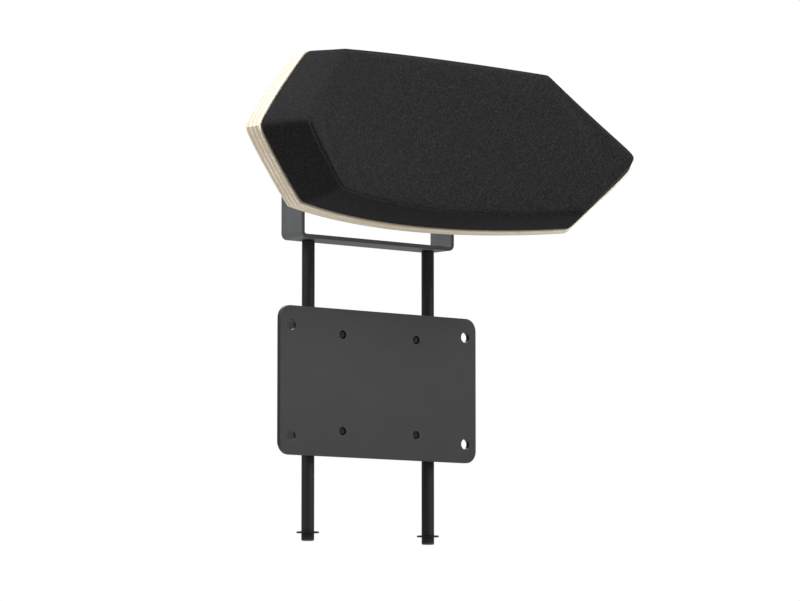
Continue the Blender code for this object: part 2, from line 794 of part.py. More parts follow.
def slab(front_n, back_n, outline_front, outline_back, front_round=0.0):
    """A flat slab of the pad's outline, cut into strips and bent. X is s, Y is n and Z is v."""
    bm = bmesh.new()
    front = bm.faces.new([bm.verts.new((p.x, front_n, p.y)) for p in outline_front])
    moved = bmesh.ops.extrude_face_region(bm, geom=[front])["geom"]
    back = next(item for item in moved if isinstance(item, bmesh.types.BMFace))
    for loop, place in zip(back.loops, ordered_like(back, outline_front, outline_back)):
        loop.vert.co = (place.x, back_n, place.y)
    if front_round:
        rim = [e for e in bm.edges if all(abs(v.co.y - front_n) < 1e-7 for v in e.verts)]
        bmesh.ops.bevel(
            bm, geom=rim, offset=front_round, segments=2, profile=0.5, affect="EDGES", material=-1
        )
    count = math.ceil(TIP_S / STRIP_WIDTH)
    cuts = [i * STRIP_WIDTH for i in range(count)] + [p.x for p in outline_front if p.x > 0]
    for s in [sign * cut for cut in cuts for sign in (-1, 1)]:
        everything = bm.verts[:] + bm.edges[:] + bm.faces[:]
        bmesh.ops.bisect_plane(
            bm, geom=everything, plane_co=(s, 0, 0), plane_no=(1, 0, 0), dist=SLIVER
        )
    for vert in bm.verts:
        s, n, v = vert.co
        vert.co = bent(s, n, bowed(s, v))
    return bm


def ordered_like(face, outline, other):
    """The points of another outline in the order of a face's corners."""
    ordered = []
    for loop in face.loops:
        distances = [abs(p.x - loop.vert.co.x) + abs(p.y - loop.vert.co.z) for p in outline]
        ordered.append(other[distances.index(min(distances))])
    return ordered


def fabric_cover(parent):
    """The cloth is pulled over the foam and round the board, with a hem behind its edge."""
    front = hexagon(0)
    back = hexagon(SIDE_DRAFT)
    fabric = material("black wool felt", (0.014, 0.014, 0.015), 0.95)
    bm = slab(0, COVER_BACK_N, front, back, FRONT_ROUND)
    cover = add_object("fabric_cover", mesh_from(bm, "fabric_cover"), parent, fabric)
    thin = FABRIC_THICKNESS
    front, back = hexagon(-thin), hexagon(SIDE_DRAFT - thin)
    bm = slab(thin, COVER_BACK_N - thin, front, back, FRONT_ROUND - thin)
    boolean(cover, add_object("cover_inside", mesh_from(bm, "cover_inside"), parent))
    opening = hexagon(-HEM_WIDTH)
    bm = slab(PANEL_FRONT_N, SHELL_FRONT_N, opening, opening)
    boolean(cover, add_object("cover_opening", mesh_from(bm, "cover_opening"), parent))


def foam_core(parent):
    wall = FABRIC_THICKNESS + GAP
    share = FOAM_BACK_N / COVER_BACK_N
    front = hexagon(-wall)
    back = hexagon(SIDE_DRAFT * share - wall)
    bm = slab(FOAM_FRONT_N, FOAM_BACK_N, front, back, FRONT_ROUND - FABRIC_THICKNESS)
    foam = material("moulded foam", (0.75, 0.72, 0.6), 0.9)
    add_object("foam_core", mesh_from(bm, "foam_core"), parent, foam)


def cushion_panel(parent):
    outline = hexagon(SIDE_DRAFT * PANEL_FRONT_N / COVER_BACK_N - FABRIC_THICKNESS - GAP)
    bm = slab(PANEL_FRONT_N, PANEL_BACK_N, outline, outline)
    board = material("cushion board", (0.35, 0.26, 0.17), 0.8)
    panel = add_object("cushion_panel", mesh_from(bm, "cushion_panel"), parent, board)
    for number, (s, v) in enumerate(fixing_places(CLIP_S, CLIP_V), 1):
        hole = radial_rod(f"panel_clip_hole_{number}", CLIP_STEM_RADIUS + GAP, s, v, 20 * MM, 33 * MM, parent)
        boolean(panel, hole)


def headrest_shell(parent):
    outline = hexagon(SIDE_DRAFT + SHELL_MARGIN)
    bm = slab(SHELL_FRONT_N, SHELL_BACK_N, outline, outline)
    birch = material("whitewashed birch plywood", (0.8, 0.74, 0.65), 0.5)
    shell = add_object("headrest_shell", mesh_from(bm, "headrest_shell"), parent, birch)
    tee_seat = SHELL_FRONT_N + GAP + TEE_FLANGE_THICKNESS + GAP
    for number, (s, v) in enumerate(fixing_places(BRACKET_SCREW_S, BRACKET_SCREW_V), 1):
        radius = TEE_BARREL_RADIUS + GAP
        boolean(shell, radial_rod(f"shell_hole_{number}", radius, s, v, 20 * MM, 50 * MM, parent))
        radius = TEE_FLANGE_RADIUS + GAP
        boolean(shell, radial_rod(f"tee_seat_{number}", radius, s, v, 20 * MM, tee_seat, parent))
    for number, (s, v) in enumerate(fixing_places(CLIP_S, CLIP_V), 1):
        radius = CLIP_STEM_RADIUS + GAP
        boolean(shell, radial_rod(f"shell_clip_hole_{number}", radius, s, v, 20 * MM, 36.5 * MM, parent))


def fixing_places(s, v):
    return [(x, z) for x in (-s, s) for z in (-v, v)]


def radial_rod(name, radius, s, v, near_n, far_n, parent):
    """A cutter square to the curved surface at a place on it."""
    return rod(name, radius, bent(s, near_n, v), bent(s, far_n, v), parent)


def set_radially(obj, s, v):
    """Puts a piece turned about Z at a place on the pad, with its height as depth n."""
    obj.rotation_mode = "QUATERNION"
    outwards = bent(s, 1, v) - bent(s, 0, v)
    obj.rotation_quaternion = outwards.to_track_quat("Z", "Y")
    obj.location = bent(s, 0, v)


def shell_fixings(parent):
    """Four screws through the bracket into tee nuts, and four clips that hold the cushion panel."""
    base_back = BASE_FRONT_N + BASE_THICKNESS
    screw = pan_screw(base_back + GAP, base_back - SHELL_FRONT_N - 1.5 * MM)
    flange_front = SHELL_FRONT_N + GAP
    flange_back = flange_front + TEE_FLANGE_THICKNESS
    barrel_back = SHELL_BACK_N - 1 * MM
    bore = SCREW_RADIUS + GAP
    tee = [
        (bore, flange_front),
        (bore, barrel_back),
        (TEE_BARREL_RADIUS, barrel_back),
        (TEE_BARREL_RADIUS, flange_back),
        (TEE_FLANGE_RADIUS, flange_back),
        (TEE_FLANGE_RADIUS, flange_front),
        (bore, flange_front),
    ]
    for number, (s, v) in enumerate(fixing_places(BRACKET_SCREW_S, BRACKET_SCREW_V), 1):
        set_radially(turned(f"bracket_screw_{number}", screw, parent, black_steel("black screw")), s, v)
        set_radially(turned(f"tee_nut_{number}", tee, parent, zinc("tee nut")), s, v)
    clip = [
        (0, 36 * MM),
        (CLIP_STEM_RADIUS, 36 * MM),
        (CLIP_STEM_RADIUS, SHELL_FRONT_N - GAP),
        (CLIP_FLANGE_RADIUS, SHELL_FRONT_N - GAP),
        (CLIP_FLANGE_RADIUS, PANEL_BACK_N + GAP),
        (CLIP_STEM_RADIUS, PANEL_BACK_N + GAP),
        (CLIP_STEM_RADIUS, PANEL_FRONT_N + GAP),
        (0, PANEL_FRONT_N + GAP),
    ]
    for number, (s, v) in enumerate(fixing_places(CLIP_S, CLIP_V), 1):
        set_radially(turned(f"panel_clip_{number}", clip, parent, black_plastic("push clip"), 10), s, v)


def pad_bracket(parent):
    """One sheet: a base rolled to the shell's curve, and a lug bent back at each end."""
    middle_n = BASE_FRONT_N + BASE_THICKNESS / 2
    radius = PAD_RADIUS + middle_n
    lug_x = LUG_OUTER_X - BASE_THICKNESS / 2
    turn = BASE_BEND_RADIUS
    end_angle = math.asin((lug_x - turn) / radius)
    base = [bent(PAD_RADIUS * end_angle * i / BASE_STEPS, middle_n, 0) for i in range(BASE_STEPS + 1)]
    corner_y = base.pop().y
    half = base + [
        Vector((lug_x - 0.3 * turn, corner_y + 0.3 * turn, 0)),
        Vector((lug_x, corner_y + turn, 0)),
        Vector((lug_x, LUG_RADIUS + 1 * MM, 0)),
    ]
    run = [Vector((-p.x, p.y, 0)) for p in reversed(half[1:])] + half
    bm = bmesh.new()
    foot = -pivot_from_pad().z - BASE_HEIGHT / 2
    points = [bm.verts.new((p.x, p.y, foot)) for p in run]
    edges = [bm.edges.new(pair) for pair in zip(points, points[1:])]
    moved = bmesh.ops.extrude_edge_only(bm, edges=edges)["geom"]
    raised = [v for v in moved if isinstance(v, bmesh.types.BMVert)]
    bmesh.ops.translate(bm, vec=(0, 0, BASE_HEIGHT), verts=raised)
    steel = material("black sheet bracket", (0.025, 0.025, 0.027), 0.45, 0.4)
    bracket = add_object("pad_bracket", mesh_from(bm, "pad_bracket"), parent, steel)
    wall = bracket.modifiers.new("sheet thickness", "SOLIDIFY")
    wall.thickness = BASE_THICKNESS
    wall.offset = 0
    wall.use_even_offset = True
    boolean(bracket, lug_outline(parent, corner_y), "INTERSECT")
    start, end = (-BAR_WIDTH, 0, 0), (BAR_WIDTH, 0, 0)
    boolean(bracket, rod("lug_hole", PIVOT_BOLT_RADIUS + GAP, start, end, parent))
    for number, (s, v) in enumerate(fixing_places(BRACKET_SCREW_S, BRACKET_SCREW_V), 1):
        hole = radial_rod(f"base_hole_{number}", SCREW_HOLE_RADIUS, s, v, 35 * MM, 50 * MM, parent)
        boolean(bracket, hole)


def lug_outline(parent, corner_y):
    """A cutter seen from the side: full height at the base, tapering to a round nose at the pivot."""
    tall = BASE_HEIGHT / 2
    centre = -pivot_from_pad().z
    nose = arc((0, 0), LUG_RADIUS, 70, -70, 8)
    base_end = corner_y + 5 * MM
    front = corner_y - 20 * MM
    outline = [(front, centre - tall), (front, centre + tall), (base_end, centre + tall)]
    outline += nose + [(base_end, centre - tall)]
    cutter = prism("lug_outline", outline, 2 * BAR_WIDTH, parent)
    cutter.rotation_euler = (math.radians(90), 0, math.radians(90))
    cutter.location = (-BAR_WIDTH, 0, 0)
    return cutter


def build():
    mount_plate()
    guide_housing()
    guide_bushes()
    rear_cover()
    thread_insert()
    cover_screws()
    clamp_slide = empty("clamp_slide", (0, 0, 0))
    clamp(clamp_slide)
    knob(empty("knob_axis", (0, 0, 0)))
    mast_slide = empty("mast_slide", (0, 0, 0))
    posts(mast_slide)
    u_bracket(mast_slide)
    post_screws(mast_slide)
    pivot_stack(mast_slide)
    pad_pivot = empty("pad_pivot", (0, POST_Y, PIVOT_Z), (-PAD_LEAN, 0, 0))
    fabric_cover(pad_pivot)
    foam_core(pad_pivot)
    cushion_panel(pad_pivot)
    headrest_shell(pad_pivot)
    shell_fixings(pad_pivot)
    pad_bracket(pad_pivot)


clear_scene()
PARTS = collection("chair_headrest_attachment")
CUTTERS = collection("cutters")
build()
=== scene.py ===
"""Headrest attachment for an office swivel chair: its finished surfaces, materials and studio.

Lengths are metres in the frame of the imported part: +Z is up, -Y is towards the sitter's head,
+X is to the sitter's left, and the origin is on the front face of the mount plate.
"""

import math

import bmesh
import bpy
from bpy.props import FloatProperty, FloatVectorProperty, IntProperty, PointerProperty
from mathutils import Matrix, Vector


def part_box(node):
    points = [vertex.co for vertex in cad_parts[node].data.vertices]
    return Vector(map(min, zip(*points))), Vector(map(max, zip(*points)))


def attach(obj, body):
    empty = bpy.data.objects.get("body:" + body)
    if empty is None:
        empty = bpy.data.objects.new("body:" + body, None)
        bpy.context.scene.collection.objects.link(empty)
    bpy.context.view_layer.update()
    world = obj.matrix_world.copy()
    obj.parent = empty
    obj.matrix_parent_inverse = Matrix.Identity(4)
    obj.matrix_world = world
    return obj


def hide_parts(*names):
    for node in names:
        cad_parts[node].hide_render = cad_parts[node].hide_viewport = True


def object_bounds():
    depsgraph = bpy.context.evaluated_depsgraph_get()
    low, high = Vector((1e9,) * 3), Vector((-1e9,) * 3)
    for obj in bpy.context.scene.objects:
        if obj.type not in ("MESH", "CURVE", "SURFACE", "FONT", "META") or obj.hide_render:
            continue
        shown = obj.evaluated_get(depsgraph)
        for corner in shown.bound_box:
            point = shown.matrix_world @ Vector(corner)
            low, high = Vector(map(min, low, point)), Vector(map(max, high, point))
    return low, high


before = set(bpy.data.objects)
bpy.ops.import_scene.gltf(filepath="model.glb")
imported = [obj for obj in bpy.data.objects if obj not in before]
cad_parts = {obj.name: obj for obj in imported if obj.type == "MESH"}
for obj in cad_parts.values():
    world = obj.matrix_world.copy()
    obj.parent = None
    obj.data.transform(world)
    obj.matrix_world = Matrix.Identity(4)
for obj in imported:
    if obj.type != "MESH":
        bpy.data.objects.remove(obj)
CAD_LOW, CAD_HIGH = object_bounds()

bl_info = {
    "name": "Chair Headrest Attachment",
    "version": (1, 0, 0),
    "blender": (4, 5, 0),
    "location": "3D View > Sidebar > Headrest",
    "description": "Builds the pad, brackets, posts, clamp and knob of a chair headrest",
    "category": "Object",
}

MM = 0.001
GAP = 0.3 * MM
ROUND_STEPS = 48
SMALL_STEPS = 24
SIDES = {"left": 1, "right": -1}
BRACKET_FRONT = 39.8 * MM
BRACKET_SCREW_S = 34 * MM
BRACKET_SCREW_V = 17 * MM
SCREW_BORE = 2.6 * MM
PIVOT_BORE = 3.3 * MM


def linear(code):
    """A colour such as #8A8C8E, from sRGB to the linear values that sockets hold."""
    shares = [int(code[i : i + 2], 16) / 255 for i in (1, 3, 5)]
    return [c / 12.92 if c <= 0.04045 else ((c + 0.055) / 1.055) ** 2.4 for c in shares]


# ---------------------------------------------------------------- properties


def length(name, description, default):
    return FloatProperty(name=name, description=description, default=default, unit="LENGTH", precision=5)


def colour(name, description, code):
    return FloatVectorProperty(
        name=name, description=description, default=linear(code), subtype="COLOR", size=3, min=0, max=1
    )


class HeadrestPadSizes(bpy.types.PropertyGroup):
    """The pad's outline is measured along its unrolled front face: s across, v up."""

    radius: length("Bend radius", "Radius of the pad's front face about an upright axis", 300 * MM)
    lean: FloatProperty(
        name="Lean", description="How far the pad leans back", default=math.radians(6.4), subtype="ANGLE"
    )
    centre_y: length("Centre Y", "Where the middle of the front face is", -62 * MM)
    centre_z: length("Centre Z", "Height of the middle of the front face", 146.5 * MM)
    tip_s: length("Tip across", "From the middle to the pointed tip", 140 * MM)
    tip_v: length("Tip height", "Height of the tip", -4.2 * MM)
    top_s: length("Top corner across", "From the middle to the top corner", 83.8 * MM)
    top_v: length("Top corner height", "Height of the top corner", 49.2 * MM)
    top_bow: length("Top bow", "Rise of the top edge at its middle", 5 * MM)
    bottom_s: length("Bottom corner across", "From the middle to the bottom corner", 100 * MM)
    bottom_v: length("Bottom corner height", "Height of the bottom corner", -40.8 * MM)
    bottom_bow: length("Bottom bow", "Drop of the bottom edge at its middle", 3.3 * MM)
    tip_round: FloatProperty(
        name="Tip rounding", description="Rounding of the tip as a share of the side", default=0.024
    )
    side_draft: length("Side draft", "How much wider the cushion is at its back", 3.3 * MM)
    crease_round: length("Crease radius", "Radius of the cushion's front edge", 4 * MM)
    seam_depth: length("Seam depth", "Depth of the sewn groove along the front edge", 0.7 * MM)
    seam_width: length("Seam width", "Half width of the sewn groove", 0.75 * MM)
    swell: length("Swell", "Furthest that the cloth may puff out of its cut shape", 1.1 * MM)
    cushion_back: length("Cushion back", "Depth of the cushion's rear face", 30.2 * MM)
    board_front: length("Board front", "Depth of the board's front face inside the cushion", 25.7 * MM)
    hem: length("Hem", "Width of the cloth turned in behind the cushion", 14 * MM)
    cloth: length("Cloth", "Thickness of the cloth", 1.2 * MM)
    shell_front: length("Shell front", "Depth of the plywood's front face", 30.5 * MM)
    shell_back: length("Shell back", "Depth of the plywood's rear face", 39.5 * MM)
    shell_margin: length("Shell margin", "How far the plywood stands proud of the cushion", 1 * MM)
    shell_ease: length("Eased edge", "Radius sanded on the plywood's edges", 1.0 * MM)
    plies: IntProperty(name="Plies", description="Layers of veneer in the plywood", default=7, min=3)


class HeadrestMetalSizes(bpy.types.PropertyGroup):
    bar_thickness: length("Bar thickness", "Thickness of the U-bracket's flat bar", 2.5 * MM)
    bar_bend: length("Bar bend", "Outside radius of the U-bracket's bends", 4 * MM)
    sheet_bend: length("Sheet bend", "Middle radius of the pad bracket's bends", 3 * MM)
    sheet_height: length("Sheet height", "Height of the pad bracket's base", 52 * MM)
    lug_radius: length("Lug radius", "Radius of the nose of each lug", 9 * MM)
    deburr: length("Deburred edge", "Width of the rounded edge on bars and sheets", 0.45 * MM)
    post_radius: length("Post radius", "Radius of the posts", 4 * MM)
    knob_radius: length("Knob radius", "Radius over the knob's lobes", 22 * MM)
    knob_lobes: IntProperty(name="Knob lobes", description="Lobes round the star knob", default=6, min=3)


class HeadrestColours(bpy.types.PropertyGroup):
    felt: colour("Felt", "Black wool felt of the cushion", "#1E1E1F")
    fleck: colour("Felt fleck", "Paler fibres in the felt", "#323234")
    birch: colour("Birch", "Whitewashed face veneer", "#DDD4C7")
    birch_grain: colour("Birch grain", "Darker lines of the face veneer", "#C9BBA6")
    end_grain: colour("End grain", "Cross plies at the plywood's edge", "#BDAD95")
    graphite: colour("Graphite", "Powder coat of the U-bracket", "#4A4B4D")
    black_coat: colour("Black coat", "Powder coat of the plate and pad bracket", "#161718")
    rod: colour("Rod", "Satin black posts", "#1A1B1D")
    nylon: colour("Nylon", "Glass-filled nylon mouldings", "#202123")
    zinc: colour("Zinc", "Bright zinc plating", "#BEC2C5")
    brass: colour("Brass", "Free-cutting brass", "#D9B45F")


# ---------------------------------------------------------------- mesh helpers


def piece(name, bm, body, material, nodes=(), sharp=35, edge=0.0, edge_steps=3):
    """Finishes a bmesh as a shown piece that rides on a body and stands for its CAD nodes."""
    mesh = bpy.data.meshes.new(name)
    bm.to_mesh(mesh)
    bm.free()
    mesh.shade_smooth()
    mesh.set_sharp_from_angle(angle=math.radians(sharp))
    mesh.materials.append(material)
    obj = bpy.data.objects.new(name, mesh)
    bpy.context.scene.collection.objects.link(obj)
    if edge:
        bevel = obj.modifiers.new("rounded edges", "BEVEL")
        bevel.width = edge
        bevel.segments = edge_steps
        bevel.limit_method = "ANGLE"
        bevel.angle_limit = math.radians(sharp)
        bevel.harden_normals = True
    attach(obj, body)
    if nodes:
        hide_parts(*nodes)
    return obj


def close(bm):
    """Merges doubled points and turns every face outwards."""
    bmesh.ops.remove_doubles(bm, verts=bm.verts, dist=0.002 * MM)
    bmesh.ops.recalc_face_normals(bm, faces=bm.faces)
    return bm


def moved(bm, matrix):
    bmesh.ops.transform(bm, matrix=matrix, verts=bm.verts)
    return bm


def new_verts(result):
    return [item for item in result["geom"] if isinstance(item, bmesh.types.BMVert)]


def hexagon_shape(angle):
    """Radius of a hexagon over half its width across flats."""
    sector = math.radians(60)
    return 1 / math.cos((angle + sector / 2) % sector - sector / 2)


def stacked(rings, steps=ROUND_STEPS, hollow=False):
    """A body about Z from rings of (radius, height) or (radius, height, shape), one after another.

    A hollow body's last ring joins its first, and any other body is capped at both ends.
    """
    bm = bmesh.new()
    turn = math.tau / steps
    bmesh.ops.create_circle(bm, segments=steps, radius=1)
    first = last = bm.edges[:]
    for number, (radius, height, *shape) in enumerate(rings):
        if number:
            last = extruded_ring(bm, last)
        for vert in set(v for edge in last for v in edge.verts):
            angle = turn * round(math.atan2(vert.co.y, vert.co.x) / turn)
            reach = radius * shape[0](angle % math.tau) if shape else radius
            vert.co = (reach * math.cos(angle), reach * math.sin(angle), height)
    if hollow:
        bmesh.ops.bridge_loops(bm, edges=first + last)
    else:
        bmesh.ops.contextual_create(bm, geom=first)
        bmesh.ops.contextual_create(bm, geom=last)
    return close(bm)


def extruded_ring(bm, edges):
    made = bmesh.ops.extrude_edge_only(bm, edges=edges)["geom"]
    fresh = set(item for item in made if isinstance(item, bmesh.types.BMVert))
    return [e for e in made if isinstance(e, bmesh.types.BMEdge) and all(v in fresh for v in e.verts)]


def quarter(radius, height, size, start, end, steps=4):
    """Rings of a rounded edge about a centre at (radius, height), from one angle in degrees to another."""
    angles = [math.radians(start + (end - start) * i / steps) for i in range(steps + 1)]
    return [(radius + size * math.cos(a), height + size * math.sin(a)) for a in angles]


def blank(outline, holes, thickness):
    """A flat plate about z = 0 from outline points and holes of (x, y, radius)."""
    bm = bmesh.new()
    points = [bm.verts.new((x, y, 0)) for x, y in outline]
    for first, second in zip(points, points[1:] + points[:1]):
        bm.edges.new((first, second))
    for x, y, radius in holes:
        bmesh.ops.create_circle(bm, segments=32, radius=radius, matrix=Matrix.Translation((x, y, 0)))
    bmesh.ops.triangle_fill(bm, use_beauty=True, edges=bm.edges[:], normal=(0, 0, 1))
    bmesh.ops.dissolve_limit(bm, angle_limit=math.radians(1), verts=bm.verts[:], edges=bm.edges[:])
    raised = new_verts(bmesh.ops.extrude_face_region(bm, geom=bm.faces[:]))
    bmesh.ops.translate(bm, vec=(0, 0, thickness), verts=raised)
    bmesh.ops.translate(bm, vec=(0, 0, -thickness / 2), verts=bm.verts)
    bmesh.ops.recalc_face_normals(bm, faces=bm.faces)
    return bm


def arc(x, y, radius, start, end, steps):
    """Points on a circle from one angle in degrees to another."""
    angles = [math.radians(start + (end - start) * i / steps) for i in range(steps + 1)]
    return [(x + radius * math.cos(a), y + radius * math.sin(a)) for a in angles]


def rounded_rectangle(width, height, radius, steps=8):
    x, y = width / 2 - radius, height / 2 - radius
    points = []
    for number, (sx, sy) in enumerate([(1, 1), (-1, 1), (-1, -1), (1, -1)]):
        points += arc(sx * x, sy * y, radius, 90 * number, 90 * number + 90, steps)
    return points


def rounded_block(low, high, size, steps=4):
    bm = bmesh.new()
    bmesh.ops.create_cube(bm, size=1)
    low, high = Vector(low), Vector(high)
    bmesh.ops.scale(bm, vec=high - low, verts=bm.verts)
    bmesh.ops.translate(bm, vec=(low + high) / 2, verts=bm.verts)
    if size:
        bmesh.ops.bevel(
            bm, geom=bm.edges[:], offset=size, segments=steps, profile=0.5, affect="EDGES", material=-1
        )
    return bm


def follow(path, distance, aside):
    """The point a distance along a path of (length, turn) runs, stepped aside to its left."""
    place, heading = Vector((0, 0)), 0.0
    for run, turn in path:
        part = min(distance, run)
        if turn:
            radius = run / turn
            place += radius * Vector((-math.sin(heading), math.cos(heading)))
            heading += turn * part / run
            place -= radius * Vector((-math.sin(heading), math.cos(heading)))
        else:
            place += part * Vector((math.cos(heading), math.sin(heading)))
        distance -= part
        if distance <= 0:
            break
    return place + aside * Vector((-math.sin(heading), math.cos(heading)))


def fold(bm, path, cuts):
    """Cuts a flat blank across at the given distances, and lays its X along a path, both ways."""
    for cut in [sign * c for c in cuts for sign in (-1, 1)]:
        everything = bm.verts[:] + bm.edges[:] + bm.faces[:]
        bmesh.ops.bisect_plane(
            bm, geom=everything, plane_co=(cut, 0, 0), plane_no=(1, 0, 0), dist=0.01 * MM
        )
    for vert in bm.verts:
        x, y, z = vert.co
        at = follow(path, abs(x), z)
        vert.co = (math.copysign(at.x, x), at.y, y)


def bend_cuts(path, steps):
    """Distances at which the bends of a path start, end and turn."""
    cuts, start = [], 0.0
    for (run, turn), count in zip(path, steps):
        if turn:
            cuts += [start + run * i / count for i in range(count + 1)]
        start += run
    return [c for c in cuts if c > 0]


def bordered(bm, width=0.15 * MM, area=60 * MM * MM):
    """Gives broad flat faces a narrow border, so that rounded edges next to them don't tint them."""
    broad = [f for f in bm.faces if f.calc_area() > area]
    bmesh.ops.inset_region(bm, faces=broad, thickness=width, use_even_offset=True, use_boundary=True)
    return bm


def carved(bm, cutters, operation="DIFFERENCE"):
    """A bmesh cut by others, or joined to them, with an exact Boolean."""
    objects = []
    for part in [bm] + cutters:
        mesh = bpy.data.meshes.new("carving")
        part.to_mesh(mesh)
        part.free()
        obj = bpy.data.objects.new("carving", mesh)
        bpy.context.scene.collection.objects.link(obj)
        objects.append(obj)
    for cutter in objects[1:]:
        change = objects[0].modifiers.new("carve", "BOOLEAN")
        change.operation = operation
        change.solver = "EXACT"
        change.object = cutter
    result = bmesh.new()
    result.from_object(objects[0], bpy.context.evaluated_depsgraph_get())
    for obj in objects:
        mesh = obj.data
        bpy.data.objects.remove(obj)
        bpy.data.meshes.remove(mesh)
    bmesh.ops.remove_doubles(result, verts=result.verts, dist=0.002 * MM)
    return result


def drill(x, z, radius):
    """A cutter along Y, long enough to pass through the whole receiver."""
    near, far = -10 * MM, 60 * MM
    return moved(stacked([(radius, near), (radius, far)], 32), along_y(x, 0, z))


def along_y(x, y, z):
    """Turns a body made about Z to point along +Y, at a place."""
    return Matrix.Translation((x, y, z)) @ Matrix.Rotation(math.radians(-90), 4, "X")


def centre_of(node):
    low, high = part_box(node)
    return (low + high) / 2


# ---------------------------------------------------------------- the pad's shape


def pad_place(pad, s, n, v):
    """From a place on the unrolled pad, s across, n deep and v up, to a point in the frame."""
    angle = s / pad.radius
    reach = pad.radius + n
    point = Vector((reach * math.sin(angle), reach * math.cos(angle) - pad.radius, v))
    return pad_frame(pad) @ point


def pad_frame(pad):
    return Matrix.Translation((0, pad.centre_y, pad.centre_z)) @ Matrix.Rotation(-pad.lean, 4, "X")


def mitre(first, second):
    """How far a corner moves when its two sides, given by their normals, move out by one."""
    return (first + second) / (1 + first.dot(second))


def pad_corners(pad, out):
    """The top, tip and bottom corners on +X, with every side moved outwards."""
    top = Vector((pad.top_s, pad.top_v))
    tip = Vector((pad.tip_s, pad.tip_v))
    bottom = Vector((pad.bottom_s, pad.bottom_v))
    upper, lower = (top - tip).normalized(), (tip - bottom).normalized()
    up_normal, down_normal = Vector((upper.y, -upper.x)), Vector((lower.y, -lower.x))
    return (
        top + out * mitre(Vector((0, 1)), up_normal),
        tip + out * mitre(up_normal, down_normal),
        bottom + out * mitre(down_normal, Vector((0, -1))),
    )


def on_pad(pad, corners, x, y):
    """Lays a square grid, x and y from -1 to 1, over the outline: a Coons patch of its four sides."""
    top, tip, bottom = corners
    share = (y + 1) / 2
    bend = (tip - bottom).length / ((tip - bottom).length + (top - tip).length)
    upper = Vector((x * top.x, top.y + pad.top_bow * (1 - x * x)))
    lower = Vector((x * bottom.x, bottom.y - pad.bottom_bow * (1 - x * x)))
    past, soft = share - bend, math.hypot(share - bend, pad.tip_round)
    side = tip + (top - tip) * (soft + past) / 2 / (1 - bend) + (bottom - tip) * (soft - past) / 2 / bend
    between_sides = Vector((x * side.x, side.y))
    between_edges = lower.lerp(upper, share)
    between_corners = Vector((x * bottom.x, bottom.y)).lerp(Vector((x * top.x, top.y)), share)
    return between_sides + between_edges - between_corners


def pad_block(pad, rings, across, up):
    """A closed body of the pad's outline from rings of (outwards, depth), front face to rear face.

    Each vertex is first at (x, y, ring) in a square block, and keeps the ring as an attribute.
    """
    bm = bmesh.new()
    bmesh.ops.create_grid(bm, x_segments=across, y_segments=up, size=1)
    raised = new_verts(bmesh.ops.extrude_face_region(bm, geom=bm.faces[:]))
    bmesh.ops.translate(bm, vec=(0, 0, 1), verts=raised)
    walls = [e for e in bm.edges if abs(e.verts[0].co.z - e.verts[1].co.z) > 0.5]
    bmesh.ops.subdivide_edges(bm, edges=walls, cuts=len(rings) - 2)
    level = bm.verts.layers.int.new("ring")
    corners = [pad_corners(pad, ring[0]) for ring in rings]
    for vert in bm.verts:
        x, y, z = vert.co
        ring = round(z * (len(rings) - 1))
        vert[level] = ring
        s, v = on_pad(pad, corners[ring], x, y)
        vert.co = pad_place(pad, s, rings[ring][1], v)
    bmesh.ops.recalc_face_normals(bm, faces=bm.faces)
    if bm.calc_volume(signed=True) < 0:
        bmesh.ops.reverse_faces(bm, faces=bm.faces)
    return bm


# ---------------------------------------------------------------- materials


def node(tree, kind, inputs=None, **settings):
    """Adds a shader node. An input is a value, or the output socket that feeds it."""
    made = tree.nodes.new("ShaderNode" + kind)
    for name, value in settings.items():
        setattr(made, name, value)
    for socket, value in (inputs or {}).items():
        if isinstance(value, bpy.types.NodeSocket):
            tree.links.new(value, made.inputs[socket])
        else:
            made.inputs[socket].default_value = value
    return made


def start_material(name, **constants):
    """A material with its shader's constants on its own sockets, and its Object coordinates."""
    made = bpy.data.materials.get(name) or bpy.data.materials.new(name)
    made.use_nodes = True
    tree = made.node_tree
    tree.nodes.clear()
    shader = node(tree, "BsdfPrincipled")
    for socket, value in constants.items():
        shader.inputs[socket.replace("_", " ")].default_value = value
    node(tree, "OutputMaterial", {"Surface": shader.outputs["BSDF"]})
    place = node(tree, "TexCoord").outputs["Object"]
    return made, tree, shader, place


def opaque(colour_value):
    return (*colour_value, 1.0)


def stops(ramp, first, second, low=0.0, high=1.0):
    """Sets a colour ramp's two ends."""
    elements = ramp.color_ramp.elements
    elements[0].position, elements[0].color = low, opaque(first)
    elements[1].position, elements[1].color = high, opaque(second)
    return ramp.outputs["Color"]


def shades(colour_value, spread):
    """A darker and a paler shade of a colour."""
    return [c * (1 - spread) for c in colour_value], [min(1, c * (1 + spread)) for c in colour_value]


def coarseness(millimetres):
    """The scale of a texture whose features are this wide, on coordinates in metres."""
    return 1 / (millimetres * MM)


